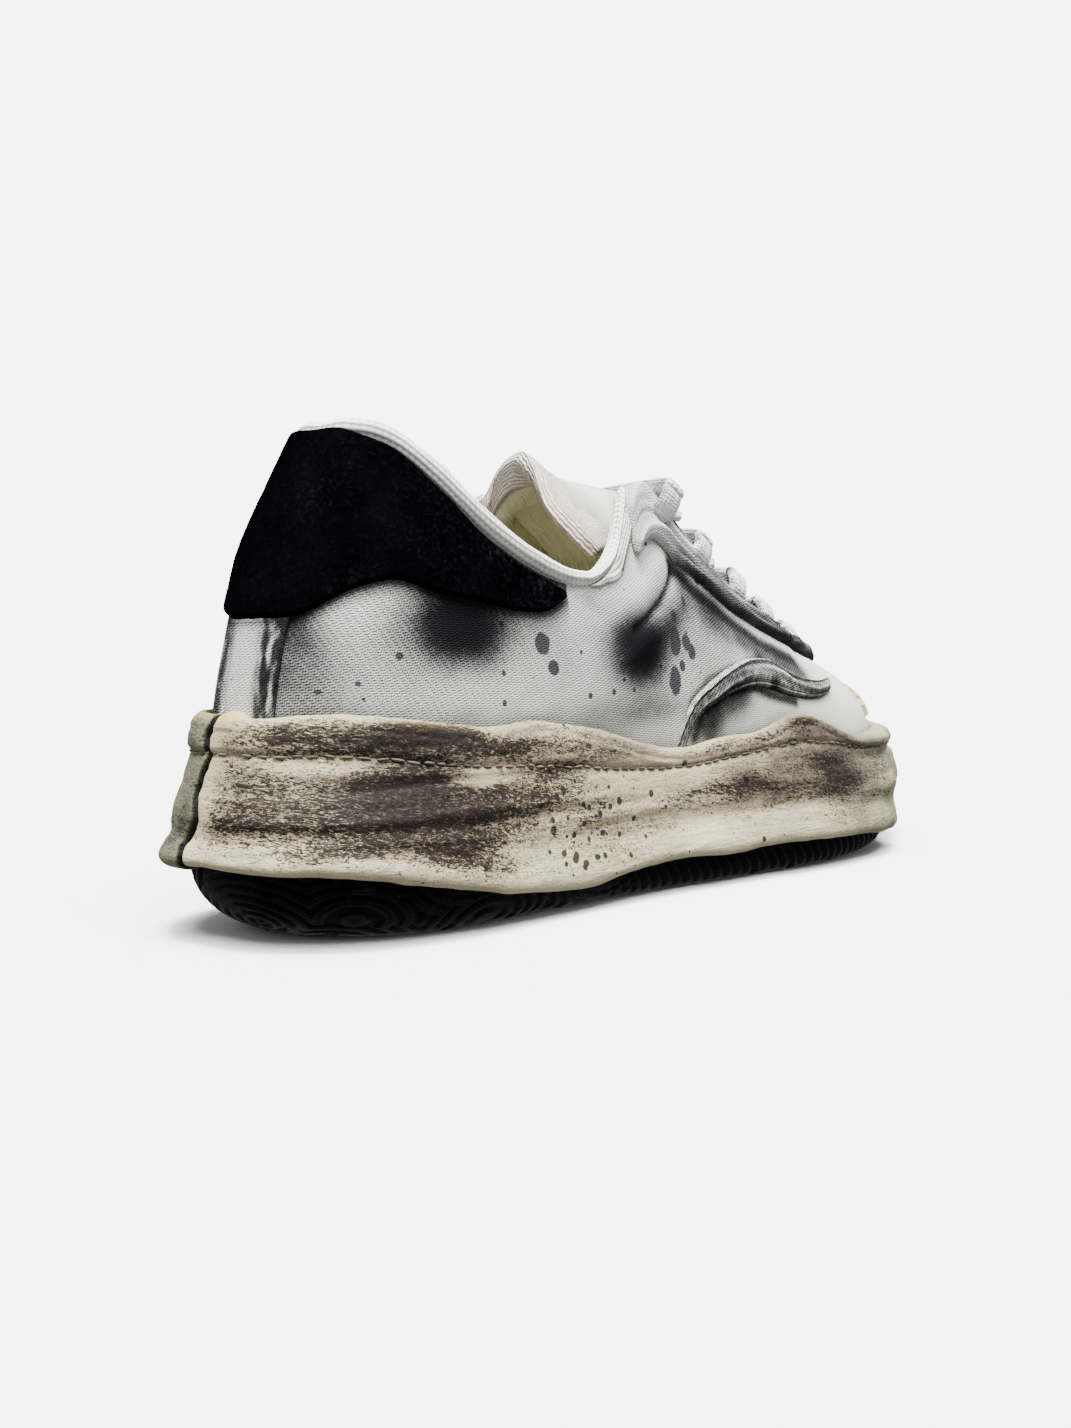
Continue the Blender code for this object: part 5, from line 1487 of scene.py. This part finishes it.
def facing_relief(station, base, across, inside):
    """A rolled lower edge with a valley above it, and lengthwise wrinkles."""
    strength = np.clip((side_of(station) - 5.0) / 0.35, 0.5, 1)
    roll = 1.5 * hump(across - 3.2, 2.3) - 0.8 * hump(across - 7.4, 1.1)
    wrinkles = 0.8 * lengthwise(station, across, 14.0, 2.2, 70.0)
    wrinkles = wrinkles + 0.35 * lengthwise(station, across, 6.0, 1.1, 71.0)
    away = hole_distances(station, base)
    height = (roll + wrinkles * unit(inside / 1.5)) * strength
    return height - 2.4 * hump(away, 2.1, 4) + 0.4 * hump(away - 3.4, 0.9)


def facing_soil(station, base, across, inside):
    start = np.clip((side_of(station) - 5.35) / 0.5, 0.12, 1)
    wrinkles = lengthwise(station, across, 14.0, 2.2, 70.0)
    streaks = lengthwise(station, across, 9.0, 0.8, 72.0)
    # Painted shade in wrinkle troughs, the valley, along the lower edge and in the lace holes.
    soil = (0.28 - 0.42 * wrinkles + 0.65 * streaks) * start
    soil += 0.14 * hump(across - 7.4, 1.4) * start + 0.5 * np.exp(-across / 0.9) * start
    soil += 0.34 * unit((side_of(station) - 6.0) / 1.0) + 0.07 * start
    soil += 0.9 * hump(hole_distances(station, base), 2.3, 4)
    return np.clip(soil, 0, 1.1)


# %% Facings: both sides
SIDES = ("outer", "inner")


def stations_on(side, along_at):
    """Stations counted on one side, as stations round the whole shoe."""
    return 2 * TOE - along_at if side == "inner" else along_at


for side_name in SIDES:
    along_at = np.linspace(FACING_FROM, FACING_TO, 250)
    at = stations_on(side_name, along_at)
    ends = unit((along_at - FACING_FROM) / 0.10)
    rounded_top = 3.0 * (1 - np.sqrt(1 - (1 - ends) ** 2))
    low = share_below_edge(at, read(FACING_BREADTH, 1, np.maximum(along_at, 5.0)) - rounded_top)
    facing = lay_patch(f"facing_{side_name}_worn", at, low, np.ones_like(at), FACING_THICK, 60, 1.3,
                       extra=facing_relief, soil=facing_soil)
    fit_out(facing, "smudged_canvas", [f"facing_{side_name}"], smudged_canvas)

# %% Knitted strip down the throat's rear edge, with its zigzag seam
def strip_relief(station, base, across, inside):
    return 0.12 * ripple(base, 5.0, 74.0)


def strip_soil(station, base, across, inside):
    return unit(0.04 + 0.16 * ripple(base, 6.0, 75.0) + 0.22 * np.exp(-across / 0.8))


ZIGZAG_STEP = 1.1
for side_name in SIDES:
    name = f"throat_strip_{side_name}"
    along_at = np.linspace(4.2, 5.0, 90)
    at = stations_on(side_name, along_at)
    breadth = np.interp(along_at, (4.2, 4.45, 4.7, 4.88, 5.0), (0.3, 2.0, 6.0, 7.4, 6.4))
    low = share_below_edge(at, breadth)
    strip = lay_patch(name, at, low, np.ones_like(at), 0.55, 40, 0.8, extra=strip_relief,
                      soil=strip_soil)
    fit_out(strip, "knit", ["collar_roll"], knit)
    folds = cloth_relief(on_rib(at, low))
    line = skin(at, low, 0.8 + folds)
    above = skin(at, share_below_edge(at, breadth - 1.5), 1.5 + folds)
    walked = way_along(line)
    marks_at = np.arange(0.45 * walked[-1], walked[-1] - 1.0, ZIGZAG_STEP)
    zig = [on_line(line if index % 2 else above, walked, way) for index, way in enumerate(marks_at)]
    lay_stitches(name + "_seam", list(zip(zig, zig[1:])), 0.16, 0.04, ["collar_roll"], "knit")

# %% Toe cap
cap_half = even_stations(180, 9.0, 12.0)
cap_at = np.concatenate([cap_half, 2 * TOE - cap_half[-2::-1]])
high = share_at_height(cap_at, read(CAP_EDGE, 1, side_of(cap_at)))
low = share_at_height(cap_at, rim_height(cap_at) + 1.2)


# Painted greenish shade round the tip of the toe.
def cap_green(station, base, across, inside):
    return unit((base[..., 0] - 262) / 14) * 0.55


def cap_scuff(station, base, across, inside):
    return unit(0.30 + 0.3 * ripple(base, 8.0, 99.0))


cap = lay_patch("toe_cap_worn", cap_at, low, high, CAP_THICK, 30, 0.9, green=cap_green,
                scuff=cap_scuff)
fit_out(cap, "cream_rubber", ["toe_cap"], cream_rubber)

# %% [markdown]
# ## The vamp bands
# On each side a padded canvas tape arches from the sole over the vamp. Two cords are sewn along
# its edges as piping, and the padding between them has wrinkled and gone grey, with shade painted
# into its wrinkles, beside the piping and along its lower edge.

# %% Vamp bands
def along_path(at, share):
    points = skin(at, share, cloth_relief(on_rib(at, share)))
    normal = outward_normal(at, share)
    sideways = np.cross(normal, np.gradient(points, axis=0))
    return points, sideways / np.linalg.norm(sideways, axis=-1, keepdims=True), normal


BAND_STEPS, BAND_COLUMNS = 260, 45
for side_name in SIDES:
    path = np.linspace(BAND_PATH[0][0], BAND_PATH[-1][0], BAND_STEPS)
    at = stations_on(side_name, path)
    share = share_at_height(at, read(BAND_PATH, 1, path))
    middle, sideways, normal = along_path(at, share)
    if sideways[BAND_STEPS // 2, 2] < 0:
        sideways = -sideways
    half = BAND_HALF * read(BAND_PATH, 2, path)
    across = np.linspace(-1, 1, BAND_COLUMNS)
    grid = np.broadcast_arrays(path[:, None] * STATION_LONG, across * BAND_HALF, 0.0)
    grid = np.stack(grid, -1)
    along_folds = ripple(grid, 4.0, 80.0, (0.35, 1.6, 1))
    cross_folds = ripple(grid, 4.0, 81.0, (1.2, 0.5, 1))
    piping = hump(np.abs(across) - 0.82, 0.13) * np.where(across > 0, 0.6, 0.45)
    padding = 0.55 * np.sqrt(unit(1 - (across / 0.72) ** 2))
    edge = unit((1 - np.abs(across)) / 0.12) ** 0.5
    height = (0.80 * piping + padding + 0.12) * edge * BAND_HIGH
    folds = (0.6 * along_folds + 0.5 * cross_folds) * unit((0.85 - np.abs(across)) / 0.3)
    height = height[None] + folds
    ends = np.sqrt(np.clip(np.minimum((path - path[0]) / 0.45, (path[-1] - path) / 0.35), 0.04, 1))
    height = height * ends[:, None]
    top_face = (middle[:, None] + sideways[:, None] * (half[:, None] * across)[..., None]
                + normal[:, None] * (0.3 + height)[..., None])
    top_face = top_face - (across**2)[None, :, None] * normal[:, None] * 0.5
    under_face = (middle[:, None] + sideways[:, None] * (half[:, None] * across[::-11])[..., None]
                  + normal[:, None] * -0.1)
    body = np.concatenate([top_face, under_face, top_face[:, :1]], axis=1)
    shaded_hollow = np.where(across > 0, unit((0.76 - across) / 0.25), unit((1.2 + across) / 0.4))
    # Painted shade in the fold troughs, inside the piping and over the band's lower edge.
    soil = (0.24 - 0.4 * along_folds - 0.2 * cross_folds) * shaded_hollow
    soil = soil + 0.22 * unit((6.2 - path) / 0.5)[:, None] * unit(shaded_hollow + 0.35)
    soil = soil + 0.42 * hump(across - 0.60, 0.10)[None]
    soil = soil + 0.28 * hump(across + 0.62, 0.10)[None]
    soil = soil + 0.26 * unit(0.45 + 1.2 * ripple(top_face, 1.3, 83.0, (1, 1, 0.7)))
    notch = hump(top_face[..., 0] - 178, 2.2) * unit(-across * 1.5)[None]
    soil = soil + 0.8 * notch + unit(-across - 0.90)[None] * 6
    soil = np.clip(soil + 0.10 * unit(ripple(top_face, 3.0, 82.0)), 0, 1.1)
    soil = np.concatenate([soil, soil[:, ::-11], soil[:, :1]], axis=1)
    band = lay_sheet(f"vamp_band_{side_name}_worn", body, marks={"soil": soil})
    fit_out(band, "smudged_canvas", [f"vamp_band_{side_name}"], smudged_canvas)

# %% [markdown]
# ## Collar, tongue and insole
# The collar is a foam roll in a knitted sleeve, set on the canvas's edge. The tongue is a padded
# sheet that arches over the instep, bound at its top with ribbed tape.

# %% Collar roll
roll_at = np.linspace(-ROLL_END, ROLL_END, 420)
half_wide, half_high = both_sides(ROLL_SIZE, 1, roll_at), both_sides(ROLL_SIZE, 2, roll_at)
ones = np.ones_like(roll_at)
edge = skin(roll_at, ones, -WALL / 2 + 0.3 * cloth_relief(on_rib(roll_at, ones)))
rising = on_rib(roll_at, ones) - on_rib(roll_at, ones * 0.97)
rising /= np.linalg.norm(rising, axis=-1, keepdims=True)
outward = outward_normal(roll_at, ones)
turns = np.linspace(0, 2 * math.pi, 29)[None] - math.pi / 2
bare = np.interp(np.abs(roll_at), (0, 0.9, 1.7, 2.4, 3.4, 4.0, 5.1), (1.0, 0.9, 0.2, 0, 0, 0, 0))
droop = np.interp(np.abs(roll_at), (0, 1.4, 2.4, 3.4, 4.2, 5.1), (0, 0.2, 1.0, 1.0, 0.3, 0))
half_high = half_high + 0.9 * droop
centre = edge + rising * (half_high + GAP + 0.1 - 1.5 * droop + 0.5 * bare)[:, None]
centre = centre + outward * (0.9 * droop - 2.6 * bare)[:, None]
lumps = 1 + 0.09 * ripple(centre, 9.0, 90.0) + 0.05 * ripple(centre, 3.5, 91.0)
closing = np.sqrt(np.clip((ROLL_END - np.abs(roll_at)) / 0.10, 0.02, 1))
lumps = (lumps * closing)[:, None]
points = (centre[:, None]
          + outward[:, None] * (half_wide[:, None] * lumps * np.cos(turns))[..., None]
          + rising[:, None] * (half_high[:, None] * lumps * np.sin(turns))[..., None])
# A line of painted shade runs along the roll's lower outer side, where it meets the canvas.
soil = unit(0.04 + 0.20 * ripple(points, 9.0, 92.0)) + 0.10 * hump(turns + 0.45, 0.35)
soil = np.clip(soil * unit(0.5 + 0.5 * ripple(points, 6.0, 93.0)), 0, 0.6)
collar = lay_sheet("knit_collar", points, marks={"soil": soil})
fit_out(collar, "knit", ["collar_roll"], knit)

# %% Tongue: sections
MIRROR = np.array([1, -1, 1])
TONGUE_COLUMNS = 61
TONGUE_STATIONS = (9.6, 8.8, 8.0, 7.4, 6.8, 6.2, 5.7, 5.35)


def cubic_line(points, fine):
    """A smooth line through points, read at fractions of their order."""
    knots = np.arange(len(points))
    return np.stack([smooth(knots, column, fine) for column in np.array(points).T], -1)


def throat_section(station):
    under = -(WALL + 1.85)
    line = [skin(station, share_below_edge(station, below), under) for below in (15.0, 7.0, 0.5)]
    edge = on_rib(station, 1.0)
    middle = np.array([edge[0], 0.0, edge[2] + 0.8])
    return line + [middle] + [point * MIRROR for point in line[::-1]]


def free_section(outer, crown, inner):
    line = []
    for share in (-1.0, -0.82, -0.55, 0.0, 0.55, 0.82, 1.0):
        side = np.array(outer if share < 0 else inner)
        bend = abs(share) ** 2.4
        line.append(np.array(crown) + (side - crown) * np.array([bend, abs(share), bend]))
    return line


lines = [throat_section(np.array(station)) for station in TONGUE_STATIONS]
lines += [free_section(*TONGUE_FREE), np.array(TONGUE_EDGE)]
sections = np.array([cubic_line(line, np.linspace(0, 6, TONGUE_COLUMNS)) for line in lines])
fine_rows = np.linspace(0, len(lines) - 1, 130)
outer = [cubic_line(sections[:, column], fine_rows) for column in range(TONGUE_COLUMNS)]
outer = np.stack(outer, 1)
normal = np.cross(np.gradient(outer, axis=0), np.gradient(outer, axis=1))
normal /= np.linalg.norm(normal, axis=-1, keepdims=True)
crown = TONGUE_COLUMNS // 2
normal *= np.sign(normal[:, crown : crown + 1, 2:3])
free = unit((fine_rows - 6.5) / 2.0)[:, None]
outer = outer + normal * (0.7 * ripple(outer, 16.0, 95.0) * free)[..., None]

# %% Tongue: thickness, dirt and body
from_end = way_along(outer[::-1, crown])[::-1, None]
from_side = way_across(outer)
from_side = np.minimum(from_side, from_side[:, -1:] - from_side)
inside = np.minimum(from_end, from_side)
thick = TONGUE_THICK * (0.25 + 0.75 * rounded(inside, 2.2))
inner = outer - normal * (TONGUE_THICK / 2 + thick / 2)[..., None]
top_face = outer - normal * (TONGUE_THICK / 2 - thick / 2)[..., None]
body = np.concatenate([top_face, inner[:, ::-1], top_face[:, :1]], axis=1)
seam = hump(from_end - 11.0, 0.9)
soil = unit(0.10 + 0.3 * ripple(outer, 14.0, 96.0))
soil_in = unit(0.10 + 0.55 * seam + np.zeros(outer.shape[:2]))
soil = np.concatenate([soil, soil_in[:, ::-1], soil[:, :1]], axis=1)
slots = (np.arange(body.shape[1]) >= TONGUE_COLUMNS).astype(int)
tongue = lay_sheet("tongue_worn", body, marks={"soil": soil}, face_columns=slots)
fit_out(tongue, "lining", ["tongue"], tongue_cloth, lining)

# %% Tongue binding
def strip_from_end(surface, deep, count):
    """Points of a sheet at even distances in from its last row, column by column."""
    made = np.empty((count, surface.shape[1], 3))
    depths = np.linspace(0, deep, count)
    for column in range(surface.shape[1]):
        line = surface[::-1, column]
        made[:, column] = [on_line(line, way_along(line), away) for away in depths]
    return made


TAPE_DEEP, TAPE_ROWS, TAPE_LIFT, TAPE_SINK = 11.5, 18, 0.5, 0.8
tape_out = strip_from_end(top_face + normal * TAPE_LIFT, TAPE_DEEP, TAPE_ROWS)
tape_in = strip_from_end(inner - normal * TAPE_LIFT, TAPE_DEEP, TAPE_ROWS)
inward_out = strip_from_end(top_face - normal * TAPE_SINK, TAPE_DEEP + 0.2, TAPE_ROWS)[-1:]
inward_in = strip_from_end(inner + normal * TAPE_SINK, TAPE_DEEP + 0.2, TAPE_ROWS)[-1:]
ahead_way = (outer[-1] - outer[-2]) / np.linalg.norm(outer[-1] - outer[-2], axis=-1, keepdims=True)
tip = ((top_face[-1] + inner[-1]) / 2 + ahead_way * 1.0)[None]
cover = np.concatenate([tape_out[::-1], tip, tape_in, inward_in, inward_out, tape_out[-1:]], axis=0)
cover = np.swapaxes(cover, 0, 1)
soil = unit(0.06 + 0.2 * ripple(cover, 8.0, 97.0))
binding = lay_sheet("tongue_binding", cover, marks={"soil": soil})
fit_out(binding, "lining", ["tongue"], binding_cloth)

# %% Insole
BED_THICK = 4.5
bed_at = even_stations(200)
bed_middle = spine(bed_at)
low_edge = skin(bed_at, np.zeros_like(bed_at), -(WALL + 0.5))
low_height = level(low_edge[:, 0], CUP_FLOOR) + GAP
share = share_at_height(bed_at, low_height + BED_THICK)
high_edge = skin(bed_at, share, -(WALL + 0.6))
columns = [in_height(bed_middle, level(bed_middle[:, 0], CUP_FLOOR) + GAP)]
columns.append(in_height(low_edge[:, :2], low_height))
for s in np.linspace(0, 1, 24):
    plan = high_edge[:, :2] + (bed_middle - high_edge[:, :2]) * s
    dip = 0.8 * unit(1 - s) ** 6
    bed_top = level(plan[:, 0], CUP_FLOOR) + GAP + BED_THICK
    columns.append(in_height(plan, bed_top + dip - 0.8 * (s > 0.05)))
bed = np.stack(columns, 1)
bed = np.concatenate([bed, bed[:, :1]], axis=1)
soil = 0.25 + 0.3 * ripple(bed, 24.0, 98.0)
footbed = lay_sheet("insole_worn", bed, marks={"soil": unit(soil)})
fit_out(footbed, "lining", ["insole"], lining)

# %% [markdown]
# ## The laces
# Flat woven lace comes up through each hole, arches over the tongue and dives under the facing
# on the other side, one row lower. Where two straps cross, one rides over the other.

# %% One strap of lace
def strap_path(station, lower, rise):
    """From a hole, over the facing's edge and the tongue, to under the other facing's edge."""
    def over(at, below, lift):
        return skin(np.array(at), share_below_edge(np.array(at), below), lift)

    path = [over(station, HOLE_FROM_EDGE, -1.2), over(station, 7.2, 3.2),
            over(station + 0.03, 3.6, 5.2), skin(np.array(station + 0.06), 1.0, 4.4)]
    if lower is None:
        middle = path[-1] * np.array([1, 0, 1]) + np.array([0, 0, 2.0])
        return np.array(path + [middle] + [point * MIRROR for point in path[::-1]])
    far = skin(np.array(lower - 0.26), 1.0, 2.6) * MIRROR
    sag = 0.0 if station > 5.5 else 2.0 if rise > 0 else 0.5
    middle = (path[-1] + far) / 2 * np.array([1, 0, 1]) + np.array([0, 0, 2.2 + rise - sag])
    if station < 5.5 and rise > 0:
        top_lift = ((0, -0.8, 0.8), (0, -1.2, 1.6), (0, -0.6, 1.0))
        path[1:] = [point + np.array(lift) for point, lift in zip(path[1:], top_lift)]
    near_far = far + np.array([-1.0, -2.0, 0.6 + rise * 0.3])
    under = far + np.array([0.6, -1.5, -2.6])
    return np.array(path + [middle, near_far, under])


def lace_strap(bm, layer, uv, points, wide_way, seed):
    """Sweeps a flat rounded section along a smooth line."""
    count, columns = 46, 21
    line = cubic_line(points, np.linspace(0, len(points) - 1, count))
    slope = np.gradient(line, axis=0)
    slope /= np.linalg.norm(slope, axis=1, keepdims=True)
    wide = wide_way - slope * (slope @ wide_way)[:, None]
    wide /= np.linalg.norm(wide, axis=1, keepdims=True)
    up = np.cross(wide, slope)
    up *= np.where(up[count // 2, 2] < 0, -1, 1)
    turn = np.linspace(0, 2 * math.pi, columns)
    flat = np.sign(np.cos(turn)) * np.abs(np.cos(turn)) ** 0.55 * LACE_WIDE / 2
    tall = np.sign(np.sin(turn)) * np.abs(np.sin(turn)) ** 0.75 * LACE_THICK / 2
    pinch = 1 + 0.20 * np.array([noise.noise(Vector((s * 0.35, seed, 3.0))) for s in range(count)])
    points = (line[:, None] + wide[:, None] * (flat[None] * pinch[:, None])[..., None]
              + up[:, None] * (tall[None] * (2 - pinch)[:, None])[..., None])
    made = bmesh.ops.create_grid(bm, x_segments=count - 1, y_segments=columns - 1, size=1)
    places = place(points)
    where = {vert: net_place(vert, count, columns) for vert in made["verts"]}
    for vert, (row, column) in where.items():
        vert.co = places[row, column]
        edge_dirt = abs(math.cos(turn[column])) ** 6 * 0.36
        edge_dirt *= 0.5 + 1.6 * noise.noise(Vector((row * 0.3, seed, 1)))
        vert[layer] = float(unit(edge_dirt + 0.05))
    for face in {face for vert in where for face in vert.link_faces}:
        for loop in face.loops:
            row, column = where[loop.vert]
            loop[uv].uv = (row * 0.9 / 1000, column * LACE_WIDE / 10 / 1000)
    bmesh.ops.remove_doubles(bm, verts=list(where), dist=1e-6)


def finish_laces(name, bm, nodes):
    open_edges = [edge for edge in bm.edges if edge.is_boundary]
    bmesh.ops.holes_fill(bm, edges=open_edges)
    bmesh.ops.recalc_face_normals(bm, faces=bm.faces)
    made = fit_out(link_mesh(name, bm), "lace", nodes, lace_cloth)
    print(name, len(made.data.polygons), "faces")


# %% All straps
for count, (station, lower) in enumerate(zip(LACE_ROWS, LACE_ROWS[1:] + (None,)), 1):
    along = on_rib(np.array(station + 0.1), 1.0) - on_rib(np.array(station - 0.1), 1.0)
    wide = along * np.array([1, 0, 1]) / np.linalg.norm(along)
    bm = bmesh.new()
    layer = bm.verts.layers.float.new("soil")
    uv = bm.loops.layers.uv.new("cloth")
    if lower is None:
        lace_strap(bm, layer, uv, strap_path(station, None, 0.0), wide, 5.0)
        finish_laces("lace_bar_worn", bm, ["lace_bar"])
        continue
    for side, seed in ((1, 0.0), (-1, 1.0)):
        points = strap_path(station, lower, side * 1.35)
        lace_strap(bm, layer, uv, points if side > 0 else points * MIRROR, wide, count * 2 + seed)
    finish_laces(f"lace_crossing_{count}_worn", bm, [f"lace_crossing_{count}"])

# %% Sizes and the end
new_low, new_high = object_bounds()
for title, box in (("CAD box", (*cad_low, *cad_high)), ("seen box", (*new_low, *new_high))):
    print(title, [round(v, 4) for v in box])
